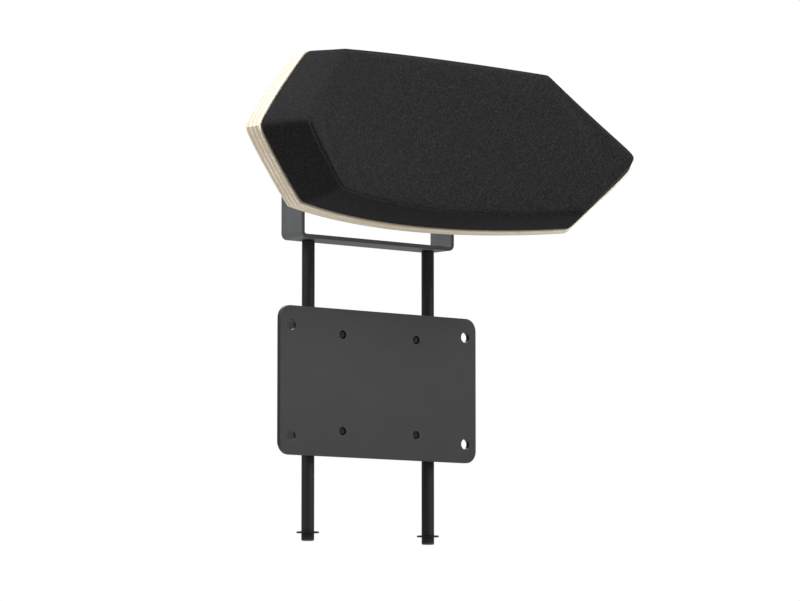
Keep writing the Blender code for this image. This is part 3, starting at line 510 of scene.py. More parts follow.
def felt_material(colours):
    """Pressed wool felt: black fibres with a few paler ones give a soft, faintly flecked face."""
    made, tree, shader, place = start_material(
        "black wool felt", Roughness=0.92, Specular_IOR_Level=0.05, Sheen_Weight=0.02, Sheen_Roughness=0.45
    )
    # Wool fibres are 0.03 mm thick, too fine to show. They're drawn as tufts 0.9 mm wide and strands
    # 0.55 mm wide, and the paler ones give the flecks.
    inputs = {"Vector": place, "Scale": coarseness(0.9), "Detail": 3, "Roughness": 0.65}
    tufts = node(tree, "TexNoise", inputs)
    slant = node(
        tree, "Mapping", {"Vector": place, "Rotation": (0.5, 0.6, 0.4), "Scale": (0.22, 1, 1)}
    ).outputs[0]
    fibres = node(tree, "TexNoise", {"Vector": slant, "Scale": coarseness(0.55), "Detail": 2})
    cross = node(
        tree, "Mapping", {"Vector": place, "Rotation": (-0.7, -0.5, 0.9), "Scale": (1, 1, 0.22)}
    ).outputs[0]
    crossing = node(tree, "TexNoise", {"Vector": cross, "Scale": coarseness(0.55), "Detail": 2})
    tangle = node(
        tree, "Math", {0: fibres.outputs[0], 1: crossing.outputs[0]}, operation="MAXIMUM"
    ).outputs[0]
    mixed = node(tree, "Math", {0: tangle, 1: tufts.outputs[0]}, operation="MULTIPLY").outputs[0]
    ramp = node(tree, "ValToRGB", {"Fac": mixed})
    tint = stops(ramp, shades(colours.felt, 0.35)[0], colours.fleck, 0.22, 0.52)
    tree.links.new(tint, shader.inputs["Base Color"])
    bump = node(tree, "Bump", {"Height": mixed, "Strength": 0.35, "Distance": 0.35 * MM})
    tree.links.new(bump.outputs[0], shader.inputs["Normal"])
    return made


def plywood_material(pad, colours):
    """Whitewashed birch plywood: a pale, faintly streaked face, with the plies striped at its edge."""
    made, tree, shader, place = start_material("whitewashed birch plywood", Specular_IOR_Level=0.35)
    turn = Matrix.Rotation(pad.lean, 4, "X")
    shift = turn @ Vector((0, -pad.centre_y, -pad.centre_z)) + Vector((0, pad.radius, 0))
    inputs = {"Vector": place, "Location": shift, "Rotation": (pad.lean, 0, 0)}
    in_pad = node(tree, "Mapping", inputs).outputs[0]
    flat = node(tree, "VectorMath", {0: in_pad, 1: (1, 1, 0)}, operation="MULTIPLY").outputs[0]
    reach = node(tree, "VectorMath", {0: flat}, operation="LENGTH").outputs["Value"]
    ply = (pad.shell_back - pad.shell_front) / pad.plies
    start = pad.radius + pad.shell_front
    depth = node(tree, "Math", {0: reach, 1: start}, operation="SUBTRACT").outputs[0]
    layer = node(tree, "Math", {0: depth, 1: 2 * ply}, operation="FLOORED_MODULO").outputs[0]
    crossed = node(tree, "Math", {0: layer, 1: ply}, operation="GREATER_THAN").outputs[0]
    # Birch has fine, even pores. Grain lines 1.6 mm wide run on for 80 mm over paler and darker clouds.
    # The pores of the cross plies are finer than 0.1 mm, and are drawn 0.7 mm wide so that they show.
    stretched = node(tree, "Mapping", {"Vector": in_pad, "Scale": (0.02, 1, 1)}).outputs[0]
    grain = node(
        tree, "TexNoise", {"Vector": stretched, "Scale": coarseness(1.6), "Detail": 4, "Distortion": 0.4}
    )
    figure = node(tree, "Mapping", {"Vector": in_pad, "Scale": (0.12, 1, 1)}).outputs[0]
    clouds = node(tree, "TexNoise", {"Vector": figure, "Scale": coarseness(14), "Detail": 2})
    both = node(tree, "Math", {0: grain.outputs[0], 1: clouds.outputs[0]}, operation="ADD").outputs[0]
    half = node(tree, "Math", {0: both, 1: 0.5}, operation="MULTIPLY").outputs[0]
    face = stops(node(tree, "ValToRGB", {"Fac": half}), colours.birch_grain, colours.birch, 0.36, 0.56)
    pores = node(tree, "TexNoise", {"Vector": in_pad, "Scale": coarseness(0.7), "Detail": 2})
    low, high = shades(colours.end_grain, 0.12)
    end = stops(node(tree, "ValToRGB", {"Fac": pores.outputs[0]}), low, high, 0.35, 0.65)
    mix = node(tree, "Mix", {"Factor": crossed, "A": face, "B": end}, data_type="RGBA")
    tree.links.new(mix.outputs["Result"], shader.inputs["Base Color"])
    rough = node(tree, "MapRange", {"Value": half, "To Min": 0.62, "To Max": 0.48}).outputs[0]
    tree.links.new(rough, shader.inputs["Roughness"])
    bump = node(tree, "Bump", {"Height": half, "Strength": 0.25, "Distance": 0.1 * MM})
    tree.links.new(bump.outputs[0], shader.inputs["Normal"])
    return made


def powder_coat(name, tint, peel=0.9, roughness=0.5):
    """Baked powder coat: even colour, with a fine orange peel that breaks up the highlights."""
    made, tree, shader, place = start_material(name, Specular_IOR_Level=0.45)
    grit = node(tree, "TexNoise", {"Vector": place, "Scale": coarseness(peel), "Detail": 2, "Roughness": 0.6})
    cloud = node(tree, "TexNoise", {"Vector": place, "Scale": coarseness(18), "Detail": 1})
    low, high = shades(tint, 0.1)
    even = stops(node(tree, "ValToRGB", {"Fac": cloud.outputs[0]}), low, high, 0.35, 0.65)
    tree.links.new(even, shader.inputs["Base Color"])
    inputs = {"Value": grit.outputs[0], "To Min": roughness - 0.07, "To Max": roughness + 0.07}
    rough = node(tree, "MapRange", inputs).outputs[0]
    tree.links.new(rough, shader.inputs["Roughness"])
    bump = node(tree, "Bump", {"Height": grit.outputs[0], "Strength": 0.35, "Distance": 0.12 * MM})
    tree.links.new(bump.outputs[0], shader.inputs["Normal"])
    return made


def moulded_plastic(name, tint, grain=0.6, roughness=0.58, bump_strength=0.3):
    """Injection-moulded plastic: a spark-eroded grain from the tool, dull with soft highlights."""
    made, tree, shader, place = start_material(name, Specular_IOR_Level=0.4, IOR=1.53)
    inputs = {"Vector": place, "Scale": coarseness(grain), "Randomness": 1}
    eroded = node(tree, "TexVoronoi", inputs, feature="SMOOTH_F1")
    flow = node(tree, "TexNoise", {"Vector": place, "Scale": coarseness(22), "Detail": 2, "Distortion": 1})
    low, high = shades(tint, 0.15)
    even = stops(node(tree, "ValToRGB", {"Fac": flow.outputs[0]}), low, high, 0.35, 0.65)
    tree.links.new(even, shader.inputs["Base Color"])
    inputs = {"Value": flow.outputs[0], "To Min": roughness + 0.08, "To Max": roughness - 0.08}
    rough = node(tree, "MapRange", inputs).outputs[0]
    tree.links.new(rough, shader.inputs["Roughness"])
    inputs = {"Height": eroded.outputs["Distance"], "Strength": bump_strength, "Distance": 0.1 * MM}
    bump = node(tree, "Bump", inputs)
    tree.links.new(bump.outputs[0], shader.inputs["Normal"])
    return made


def drawn_rod(name, tint):
    """Cold-drawn steel rod under satin black: faint lines along its length stretch the highlight."""
    made, tree, shader, place = start_material(name, Metallic=0.35, Coat_Weight=0.15, Coat_Roughness=0.3)
    along = node(tree, "Mapping", {"Vector": place, "Scale": (1, 1, 0.02)}).outputs[0]
    lines = node(tree, "TexNoise", {"Vector": along, "Scale": coarseness(0.8), "Detail": 3})
    low, high = shades(tint, 0.2)
    even = stops(node(tree, "ValToRGB", {"Fac": lines.outputs[0]}), low, high, 0.3, 0.7)
    tree.links.new(even, shader.inputs["Base Color"])
    rough = node(tree, "MapRange", {"Value": lines.outputs[0], "To Min": 0.26, "To Max": 0.42}).outputs[0]
    tree.links.new(rough, shader.inputs["Roughness"])
    bump = node(tree, "Bump", {"Height": lines.outputs[0], "Strength": 0.12, "Distance": 0.05 * MM})
    tree.links.new(bump.outputs[0], shader.inputs["Normal"])
    return made


def plated_metal(name, tint, roughness=0.32, grain=1.2):
    """Turned or pressed metal, plated or blackened: small changes of gloss between grains."""
    made, tree, shader, place = start_material(name, Metallic=1.0)
    spangle = node(
        tree, "TexNoise", {"Vector": place, "Scale": coarseness(grain), "Detail": 4, "Roughness": 0.6}
    )
    low, high = shades(tint, 0.12)
    even = stops(node(tree, "ValToRGB", {"Fac": spangle.outputs[0]}), low, high, 0.3, 0.7)
    tree.links.new(even, shader.inputs["Base Color"])
    inputs = {"Value": spangle.outputs[0], "To Min": roughness - 0.08, "To Max": roughness + 0.12}
    rough = node(tree, "MapRange", inputs).outputs[0]
    tree.links.new(rough, shader.inputs["Roughness"])
    bump = node(tree, "Bump", {"Height": spangle.outputs[0], "Strength": 0.1, "Distance": 0.04 * MM})
    tree.links.new(bump.outputs[0], shader.inputs["Normal"])
    return made


def pressed_board(name, tint):
    """Hardboard: brown wood fibres pressed flat, in short streaks."""
    made, tree, shader, place = start_material(name, Roughness=0.8)
    flecks = node(tree, "TexNoise", {"Vector": place, "Scale": coarseness(2), "Detail": 5, "Distortion": 1.5})
    low, high = shades(tint, 0.3)
    brown = stops(node(tree, "ValToRGB", {"Fac": flecks.outputs[0]}), low, high, 0.35, 0.65)
    tree.links.new(brown, shader.inputs["Base Color"])
    bump = node(tree, "Bump", {"Height": flecks.outputs[0], "Strength": 0.3, "Distance": 0.1 * MM})
    tree.links.new(bump.outputs[0], shader.inputs["Normal"])
    return made


def black_oxide():
    return plated_metal("black-oxide steel", linear("#2A2A2C"), 0.42)


def black_acetal():
    return moulded_plastic("black acetal", linear("#26272A"), 0.4, 0.4, 0.1)


def carry_over(nodes, material):
    """Gives CAD nodes that stay as they are a better finish."""
    for name in nodes:
        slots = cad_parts[name].material_slots
        if not slots:
            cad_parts[name].data.materials.append(material)
        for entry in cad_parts[name].material_slots:
            entry.material = material


# ---------------------------------------------------------------- pieces


CREASE_STEPS = 12
BAND_STEPS = 10
SEAM_RING = CREASE_STEPS // 2


def cushion_rings(pad):
    """The cushion's section, from its front face round the seam and the hem to the board's seat."""
    size = pad.crease_round
    rings = []
    for i in range(CREASE_STEPS + 1):
        angle = math.radians(90) * i / CREASE_STEPS
        off_seam = (angle - math.radians(45)) * size
        groove = pad.seam_depth * math.exp(-((off_seam / pad.seam_width) ** 2))
        reach = size - groove
        rings.append((-size + reach * math.sin(angle), size - reach * math.cos(angle)))
    rear = 2 * MM
    for i in range(1, BAND_STEPS + 1):
        share = i / BAND_STEPS
        rings.append((pad.side_draft * share, size + (pad.cushion_back - rear - size) * share))
    for out, depth in quarter(0, 0, rear, 0, 90)[1:]:
        rings.append((pad.side_draft - rear + out, pad.cushion_back - rear + depth))
    inner = pad.side_draft - pad.hem
    rings += [(inner * 0.4, pad.cushion_back), (inner, pad.cushion_back)]
    under_hem = pad.cushion_back - pad.cloth
    board = pad.side_draft * pad.board_front / pad.cushion_back - pad.cloth
    rings += [(inner, under_hem), (board, under_hem), (board, pad.board_front - GAP)]
    return rings


def puff(obj, pad):
    """Blows the cloth out with a cloth simulation, and caps how far it goes.

    The seam's groove, the hem and the back are held.
    """
    seam = range(SEAM_RING - 1, SEAM_RING + 2)
    hem = CREASE_STEPS + 1 + BAND_STEPS
    before = [v.co.copy() for v in obj.data.vertices]
    ring = [value.value for value in obj.data.attributes["ring"].data]
    held = obj.vertex_groups.new(name="held")
    for number, level in enumerate(ring):
        if level in seam or level >= hem:
            held.add([number], 1.0, "REPLACE")
    cloth = obj.modifiers.new("padding", "CLOTH")
    settings = cloth.settings
    settings.quality = 5
    settings.mass = 0.3
    settings.tension_stiffness = settings.compression_stiffness = 25
    settings.shear_stiffness = 15
    settings.bending_stiffness = 3
    settings.use_pressure = True
    settings.uniform_pressure_force = 4
    settings.effector_weights.gravity = 0
    settings.vertex_group_mass = "held"
    cloth.collision_settings.use_collision = False
    scene = bpy.context.scene
    last = 20
    cloth.point_cache.frame_start = 1
    cloth.point_cache.frame_end = last
    for number in range(1, last + 1):
        scene.frame_set(number)
    puffed = obj.evaluated_get(bpy.context.evaluated_depsgraph_get())
    after = [v.co.copy() for v in puffed.data.vertices]
    obj.modifiers.remove(cloth)
    obj.vertex_groups.remove(held)
    scene.frame_set(1)
    for vert, old, new in zip(obj.data.vertices, before, after):
        step = new - old
        if step.length:
            vert.co = old + step.normalized() * pad.swell * math.tanh(step.length / pad.swell)


class HEADREST_OT_cushion(bpy.types.Operator):
    """Makes the felt cushion: cut to the outline, seamed along its front edge, and puffed up"""

    bl_idname = "headrest.cushion"
    bl_label = "Cushion"

    def execute(self, context):
        pad = context.scene.headrest_pad
        rings = cushion_rings(pad)
        bm = pad_block(pad, rings, 96, 36)
        felt = felt_material(context.scene.headrest_colours)
        obj = piece("felt_cushion", bm, "pad", felt, ("fabric_cover", "foam_core"), sharp=60)
        puff(obj, pad)
        smooth = obj.modifiers.new("smooth cloth", "SUBSURF")
        smooth.levels = smooth.render_levels = 1
        return {"FINISHED"}


class HEADREST_OT_plywood_shell(bpy.types.Operator):
    """Makes the bent plywood shell behind the cushion, with its sanded edge"""

    bl_idname = "headrest.plywood_shell"
    bl_label = "Plywood Shell"

    def execute(self, context):
        pad = context.scene.headrest_pad
        edge = pad.side_draft + pad.shell_margin
        ease = pad.shell_ease
        front = [(edge - ease + out, pad.shell_front + ease + n) for out, n in quarter(0, 0, ease, -90, 0)]
        back = [(edge - ease + out, pad.shell_back - ease + n) for out, n in quarter(0, 0, ease, 0, 90)]
        bm = pad_block(pad, front + back, 96, 36)
        birch = plywood_material(pad, context.scene.headrest_colours)
        piece("plywood_shell", bm, "pad", birch, ("headrest_shell",))
        return {"FINISHED"}


class HEADREST_OT_pad_fixings(bpy.types.Operator):
    """Finishes the board, clips and tee nuts inside the pad, and makes the four bracket screws"""

    bl_idname = "headrest.pad_fixings"
    bl_label = "Pad Fixings"

    def execute(self, context):
        colours = context.scene.headrest_colours
        pad = context.scene.headrest_pad
        four = range(1, 5)
        carry_over(["cushion_panel"], pressed_board("brown hardboard", linear("#8B6B49")))
        natural = moulded_plastic("natural nylon", linear("#D8D4C8"), roughness=0.45)
        carry_over([f"panel_clip_{i}" for i in four], natural)
        carry_over([f"tee_nut_{i}" for i in four], plated_metal("zinc-plated steel", colours.zinc))
        black = black_oxide()
        for i in four:
            name = f"bracket_screw_{i}"
            middle = centre_of(name)
            local = pad_frame(pad).inverted() @ middle
            angle = math.atan2(local.x, local.y + pad.radius)
            s = angle * pad.radius
            seat = BRACKET_FRONT + context.scene.headrest_metal.bar_thickness + GAP
            foot = 32 * MM
            outwards = pad_place(pad, s, 1, local.z) - pad_place(pad, s, 0, local.z)
            turn = outwards.to_track_quat("Z", "Y").to_matrix().to_4x4()
            bm = moved(pan_screw(seat, foot), Matrix.Translation(pad_place(pad, s, 0, local.z)) @ turn)
            piece(f"pan_screw_{i}", bm, "pad", black, (name,), sharp=30)
        return {"FINISHED"}


def pan_screw(seat, foot):
    """A pan-head screw with a hexagon socket. Its head sits on the height seat."""
    head, tall, shank = 4.5 * MM, 2.7 * MM, 2.2 * MM
    across, deep = 1.5 * MM, 1.6 * MM
    crown = 1.3 * MM
    top = seat + tall
    rings = [(shank - 0.5 * MM, foot), (shank, foot + 0.5 * MM), (shank, seat - 0.1 * MM)]
    rings += [(head - 0.15 * MM, seat), (head, seat + 0.15 * MM)]
    rings += quarter(head - crown, top - crown, crown, 0, 90, 5)
    rings += [(across + 0.75 * MM, top), (across + 0.15 * MM, top - 0.02 * MM, hexagon_shape)]
    rings += [(across, top - 0.2 * MM, hexagon_shape), (across, top - deep, hexagon_shape)]
    rings += [(0.3 * MM, top - deep - 0.4 * MM)]
    return stacked(rings, SMALL_STEPS)


class HEADREST_OT_pad_bracket(bpy.types.Operator):
    """Folds the pad's sheet bracket from its blank: a base rolled to the shell, and two lugs"""

    bl_idname = "headrest.pad_bracket"
    bl_label = "Pad Bracket"

    def execute(self, context):
        pad = context.scene.headrest_pad
        metal = context.scene.headrest_metal
        thickness = metal.bar_thickness
        middle = BRACKET_FRONT + thickness / 2
        radius = pad.radius + middle
        lug_face = 58.4 * MM
        lug_x = lug_face - thickness / 2
        turn = metal.sheet_bend
        end_angle = math.asin((lug_x - turn) / (radius + turn))
        bolt = centre_of("pivot_bolt_left")
        pivot = pad_frame(pad).inverted() @ Vector((0, bolt.y, bolt.z))
        base_run = radius * end_angle
        bend_run = turn * (math.radians(90) + end_angle)
        bend_end = radius * math.cos(end_angle) - pad.radius + turn * math.cos(end_angle)
        lug_run = pivot.y - bend_end
        path = [(base_run, -end_angle), (bend_run, math.radians(90) + end_angle), (lug_run * 2, 0)]
        pivot_u = base_run + bend_run + lug_run
        tall = metal.sheet_height / 2
        shoulder = base_run + bend_run + 3 * MM
        ease = 4 * MM
        nose = arc(pivot_u, pivot.z, metal.lug_radius, 70, -70, 20)
        right = arc(shoulder - ease, -tall + ease, ease, -90, -40, 5)
        right += [(x, z) for x, z in reversed(nose)]
        right += arc(shoulder - ease, tall - ease, ease, 40, 90, 5)
        outline = right + [(-x, z) for x, z in reversed(right)]
        hole_u = radius * BRACKET_SCREW_S / pad.radius
        holes = [(sx * hole_u, sz * BRACKET_SCREW_V, SCREW_BORE) for sx in (-1, 1) for sz in (-1, 1)]
        holes += [(sx * pivot_u, pivot.z, PIVOT_BORE) for sx in (-1, 1)]
        bm = blank(outline, holes, thickness)
        cuts = bend_cuts(path, (14, 14, 1))
        fold(bm, path, cuts)
        bm = moved(bm, pad_frame(pad) @ Matrix.Translation((0, middle, 0)))
        bmesh.ops.recalc_face_normals(bm, faces=bm.faces)
        coat = powder_coat("black powder coat", context.scene.headrest_colours.black_coat)
        piece("pad_sheet_bracket", bm, "pad", coat, ("pad_bracket",), 40, metal.deburr, 2)
        return {"FINISHED"}


class HEADREST_OT_u_bracket(bpy.types.Operator):
    """Folds the graphite U-bracket from its flat bar, with countersinks and round arm tops"""

    bl_idname = "headrest.u_bracket"
    bl_label = "U-Bracket"

    def execute(self, context):
        metal = context.scene.headrest_metal
        low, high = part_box("u_bracket")
        middle = (low + high) / 2
        thickness = metal.bar_thickness
        half = high.x
        bend = metal.bar_bend - thickness / 2
        web_z = low.z + thickness / 2
        web_run = half - metal.bar_bend
        bend_run = bend * math.radians(90)
        arm_run = high.z - low.z - metal.bar_bend
        path = [(web_run, 0), (bend_run, math.radians(90)), (arm_run, 0)]
        depth = high.y - low.y
        end = depth / 2
        total = web_run + bend_run + arm_run
        pivot_u = total - (high.z - centre_of("pivot_bolt_left").z)
        right = arc(total - end, 0, end, -90, 90, 24)
        outline = right + [(-x, z) for x, z in reversed(right)]
        post_x = centre_of("post_left").x
        holes = [(sign * pivot_u, 0, PIVOT_BORE) for sign in (-1, 1)]
        holes += [(sign * post_x, 0, 2.3 * MM) for sign in (-1, 1)]
        bm = blank(outline, holes, thickness)
        countersink(bm, post_x, thickness / 2, 4.2 * MM)
        fold(bm, path, bend_cuts(path, (1, 12, 1)))
        # The fold leaves the bar's depth along Z and its rise along Y: turn it upright.
        upright = Matrix(((1, 0, 0, 0), (0, 0, -1, middle.y), (0, 1, 0, web_z), (0, 0, 0, 1)))
        bm = moved(bm, upright)
        bmesh.ops.recalc_face_normals(bm, faces=bm.faces)
        coat = powder_coat("graphite powder coat", context.scene.headrest_colours.graphite, 0.8, 0.48)
        piece("u_bar", bm, "mast", coat, ("u_bracket",), 30, metal.deburr, 2)
        return {"FINISHED"}


def countersink(bm, x, height, radius):
    """Widens the upper rim of the holes at x and -x."""
    for vert in bm.verts:
        centre = Vector((math.copysign(x, vert.co.x), 0, vert.co.z))
        off = vert.co - centre
        if vert.co.z > height * 0.9 and off.length < radius:
            vert.co = centre + off.normalized() * radius


class HEADREST_OT_posts(bpy.types.Operator):
    """Makes the two satin black posts, their stop rings and the countersunk screws on top"""

    bl_idname = "headrest.posts"
    bl_label = "Posts"

    def execute(self, context):
        metal = context.scene.headrest_metal
        rod = drawn_rod("satin black steel rod", context.scene.headrest_colours.rod)
        black = black_oxide()
        for side in SIDES:
            low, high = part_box(f"post_{side}")
            ring_low, ring_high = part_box(f"stop_ring_{side}")
            middle = (low + high) / 2
            to_post = Matrix.Translation((middle.x, middle.y, 0))
            radius = metal.post_radius
            neck = radius - 0.6 * MM
            slack = 0.2 * MM
            bore = 2.3 * MM
            rings = quarter(radius - 1 * MM, low.z + 1 * MM, 1 * MM, -90, 0, 6)
            rings += [(radius, ring_low.z - slack), (neck, ring_low.z - slack)]
            rings += [(neck, ring_high.z + slack), (radius, ring_high.z + slack)]
            rings += [(radius, high.z - 0.4 * MM), (radius - 0.4 * MM, high.z)]
            rings += [(bore + 0.4 * MM, high.z), (bore, high.z - 0.4 * MM), (bore, high.z - 14 * MM)]
            bm = moved(stacked(rings), to_post)
            piece(f"rod_{side}", bm, "mast", rod, (f"post_{side}",), sharp=30)
            outer = 7 * MM
            ease = 0.2 * MM
            rings = [(neck + GAP, ring_low.z), (outer - ease, ring_low.z), (outer, ring_low.z + ease)]
            rings += [(outer, ring_high.z - ease), (outer - ease, ring_high.z), (neck + GAP, ring_high.z)]
            bm = moved(stacked(rings, hollow=True), to_post)
            piece(f"circlip_{side}", bm, "mast", black, (f"stop_ring_{side}",), sharp=30)
            low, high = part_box(f"post_screw_{side}")
            head, shank, socket = 3.8 * MM, 2 * MM, 1.25 * MM
            rings = [(shank - 0.4 * MM, low.z), (shank, low.z + 0.4 * MM), (shank, high.z - head + shank)]
            rings += [(head, high.z - 0.1 * MM), (head - 0.1 * MM, high.z), (socket + 0.5 * MM, high.z)]
            rings += [(socket, high.z - 0.1 * MM, hexagon_shape), (socket, high.z - 1.4 * MM, hexagon_shape)]
            bm = moved(stacked(rings, SMALL_STEPS), to_post)
            piece(f"sunk_screw_{side}", bm, "mast", black, (f"post_screw_{side}",), sharp=30)
        return {"FINISHED"}


class HEADREST_OT_pivots(bpy.types.Operator):
    """Makes the tilt pivots: button-head bolts, friction discs, spring washers and lock nuts"""

    bl_idname = "headrest.pivots"
    bl_label = "Tilt Pivots"

    def execute(self, context):
        colours = context.scene.headrest_colours
        black = black_oxide()
        zinc = plated_metal("zinc-plated steel", colours.zinc)
        acetal = black_acetal()
        for side, sign in SIDES.items():
            middle = centre_of(f"pivot_bolt_{side}")
            # Heights run outwards from the middle of the bracket, so each stack is made along +X.
            to_side = Matrix.Translation((0, middle.y, middle.z)) @ Matrix.Rotation(
                sign * math.radians(90), 4, "Y"
            )
            inner, outer = heights(f"pivot_bolt_{side}")
            bm = moved(button_bolt(inner, outer), to_side)
            piece(f"button_bolt_{side}", bm, "mast", black, (f"pivot_bolt_{side}",), sharp=30)
            inner, outer = heights(f"friction_disc_{side}")
            bm = moved(stacked(flat_ring(3.3 * MM, 9 * MM, inner, outer, 0.2 * MM), hollow=True), to_side)
            piece(f"disc_{side}", bm, "mast", acetal, (f"friction_disc_{side}",), sharp=30)
            inner, outer = heights(f"spring_washer_{side}")
            bm = moved(split_washer(3.3 * MM, 6 * MM, inner, outer), to_side)
            piece(f"split_washer_{side}", bm, "mast", zinc, (f"spring_washer_{side}",), 30)
            inner, outer = heights(f"lock_nut_{side}")
            bm = moved(lock_nut(inner, outer), to_side)
            piece(f"nut_{side}", bm, "mast", zinc, (f"lock_nut_{side}",), sharp=25)
        return {"FINISHED"}


def heights(name):
    """How far a node of a pivot reaches from the bracket's middle, inner and outer end."""
    low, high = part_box(name)
    return sorted((abs(low.x), abs(high.x)))


def flat_ring(inner, outer, low, high, ease):
    """A washer's section, with its outer edges eased."""
    rings = [(inner, low), (outer - ease, low), (outer, low + ease)]
    return rings + [(outer, high - ease), (outer - ease, high), (inner, high)]


def button_bolt(inner, outer):
    shank, head, tall, socket = 3 * MM, 5.25 * MM, 3.3 * MM, 2 * MM
    seat = outer - tall
    rings = [(shank - 0.5 * MM, inner), (shank, inner + 0.5 * MM)]
    pitch = 0.5 * MM
    turns = 14
    for i in range(turns):
        height = inner + 0.6 * MM + i * pitch
        rings += [(shank, height), (shank - 0.25 * MM, height + pitch / 2)]
    rings += [(shank, inner + 0.7 * MM + turns * pitch), (shank, seat), (head - 0.2 * MM, seat)]
    rings += [(head, seat + 0.2 * MM), (head, seat + 0.7 * MM)]
    dome = [math.radians(10 + 62 * i / 6) for i in range(7)]
    rings += [(head * math.cos(a), seat + 0.7 * MM + (tall - 0.7 * MM) * math.sin(a) / 0.95) for a in dome]
    rings[-1] = (2.9 * MM, outer)
    rings += [(socket + 0.2 * MM, outer, hexagon_shape), (socket, outer - 0.25 * MM, hexagon_shape)]
    rings += [(socket, outer - 1.9 * MM, hexagon_shape), (0.3 * MM, outer - 2.3 * MM)]
    return stacked(rings, SMALL_STEPS)


def split_washer(inner, outer, low, high):
    """A coil of one turn, short of closing, made by a spin that climbs as it turns."""
    bm = bmesh.new()
    wire = 0.6 * (high - low)
    section = [(inner, low), (outer, low), (outer, low + wire), (inner, low + wire)]
    points = [bm.verts.new((x, 0, z)) for x, z in section]
    face = bm.faces.new(points)
    steps = 40
    turn = math.radians(352)
    rise = (high - low - wire) / steps
    bmesh.ops.spin(
        bm, geom=[face] + face.edges[:] + points, cent=(0, 0, 0), axis=(0, 0, 1), dvec=(0, 0, rise),
        angle=turn, steps=steps,
    )
    return close(bm)


def lock_nut(inner, outer):
    """A hexagon nut with chamfered corners and the collar that grips its nylon ring."""
    flat = 5 * MM
    bore, collar = 3.3 * MM, 4.3 * MM
    chamfer = 0.7 * MM

    def topped(angle):
        return min(hexagon_shape(angle), 1.07)

    hexed = inner + 1.6 * MM
    rings = [(bore, outer), (flat * 0.96, outer), (flat, outer - 0.35 * MM, topped)]
    rings += [(flat, outer - chamfer, hexagon_shape), (flat, hexed + chamfer / 2, hexagon_shape)]
    rings += [(flat, hexed, topped), (collar + 0.2 * MM, hexed - 0.2 * MM), (collar, hexed - 0.5 * MM)]
    rings += [(collar, inner + 0.5 * MM), (collar - 0.5 * MM, inner), (bore, inner)]
    return stacked(rings, SMALL_STEPS, hollow=True)


class HEADREST_OT_mount_plate(bpy.types.Operator):
    """Makes the steel plate that bolts to the chair back"""

    bl_idname = "headrest.mount_plate"
    bl_label = "Mount Plate"

    def execute(self, context):
        metal = context.scene.headrest_metal
        low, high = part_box("mount_plate")
        size = high - low
        outline = rounded_rectangle(size.x, size.z, 8 * MM)
        screw = centre_of("cover_screw_4")
        chair_x, chair_z, chair_bore = 71 * MM, 34 * MM, 3.3 * MM
        corners = [(sx, sz) for sx in (-1, 1) for sz in (-1, 1)]
        holes = [(sx * chair_x, sz * chair_z, chair_bore) for sx, sz in corners]
        holes += [(sx * screw.x, sz * screw.z, SCREW_BORE) for sx, sz in corners]
        bm = moved(blank(outline, holes, size.y), along_y(0, (low.y + high.y) / 2, 0))
        coat = powder_coat("black powder coat", context.scene.headrest_colours.black_coat)
        piece("backplate", bm, "receiver", coat, ("mount_plate",), 40, metal.deburr, 2)
        return {"FINISHED"}


class HEADREST_OT_guide(bpy.types.Operator):
    """Makes the moulded guide housing and its four flanged bushes"""

    bl_idname = "headrest.guide"
    bl_label = "Guide Housing"

    def execute(self, context):
        colours = context.scene.headrest_colours
        nylon = moulded_plastic("glass-filled nylon", colours.nylon)
        low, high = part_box("guide_housing")
        post = centre_of("post_left")
        screw = centre_of("cover_screw_4")
        bm = rounded_block(low, high, 3 * MM)
        pocket = Vector((57 * MM, high.y + 5 * MM, 14 * MM))
        cutters = [rounded_block((-pocket.x, post.y, -pocket.z), pocket, 0)]
        seat, seat_bore, tunnel = 12 * MM, 6.3 * MM, 4.6 * MM
        for sign in SIDES.values():
            to_post = Matrix.Translation((sign * post.x, post.y, 0))
            rings = [(seat_bore, high.z + 5 * MM), (seat_bore, high.z - seat), (tunnel, high.z - seat)]
            rings += [(tunnel, low.z + seat), (seat_bore, low.z + seat), (seat_bore, low.z - 5 * MM)]
            cutters.append(moved(stacked(rings), to_post))
        cutters += [drill(sx * screw.x, sz * screw.z, SCREW_BORE) for sx in (-1, 1) for sz in (-1, 1)]
        cutters += cored_pockets(low, high, post.x)
        bm = bordered(carved(bm, cutters))
        piece("moulded_guide", bm, "receiver", nylon, ("guide_housing",), 30, 0.35 * MM, 2)
        acetal = black_acetal()
        for level, up in (("upper", 1), ("lower", -1)):
            for side, sign in SIDES.items():
                inner, outer, flange = 4.1 * MM, 6 * MM, 8 * MM
                lip, top = high.z + GAP, high.z + GAP + 1.5 * MM
                foot = lip - 12 * MM
                ease = 0.4 * MM
                rings = [(inner, foot), (inner, top - ease), (inner + ease, top)]
                rings += quarter(flange - 0.5 * MM, top - 0.5 * MM, 0.5 * MM, 90, 0, 3)
                rings += [(flange, lip), (outer, lip), (outer, foot + ease), (outer - ease, foot)]
                bm = stacked(rings, hollow=True)
                turn = Matrix.Rotation(0 if up > 0 else math.pi, 4, "X")
                bm = moved(bm, Matrix.Translation((sign * post.x, post.y, 0)) @ turn)
                name = f"bush_{level}_{side}"
                piece(f"flanged_{name}", bm, "receiver", acetal, (name,), sharp=30)
        return {"FINISHED"}


def cored_pockets(low, high, post_x):
    """Cutters for the hollows that keep a moulding's walls even, in its top and bottom faces."""
    span = post_x - 12 * MM
    rib = 2 * MM
    count = 5
    width = (2 * span - rib * (count - 1)) / count
    deep = 5.5 * MM
    wall = 2.6 * MM
    cutters = []
    for end in (low.z, high.z):
        for i in range(count):
            left = -span + i * (width + rib)
            corner = Vector((left, low.y + wall, end - deep))
            cutters.append(rounded_block(corner, (left + width, high.y - wall, end + deep), 1.2 * MM))
    return cutters


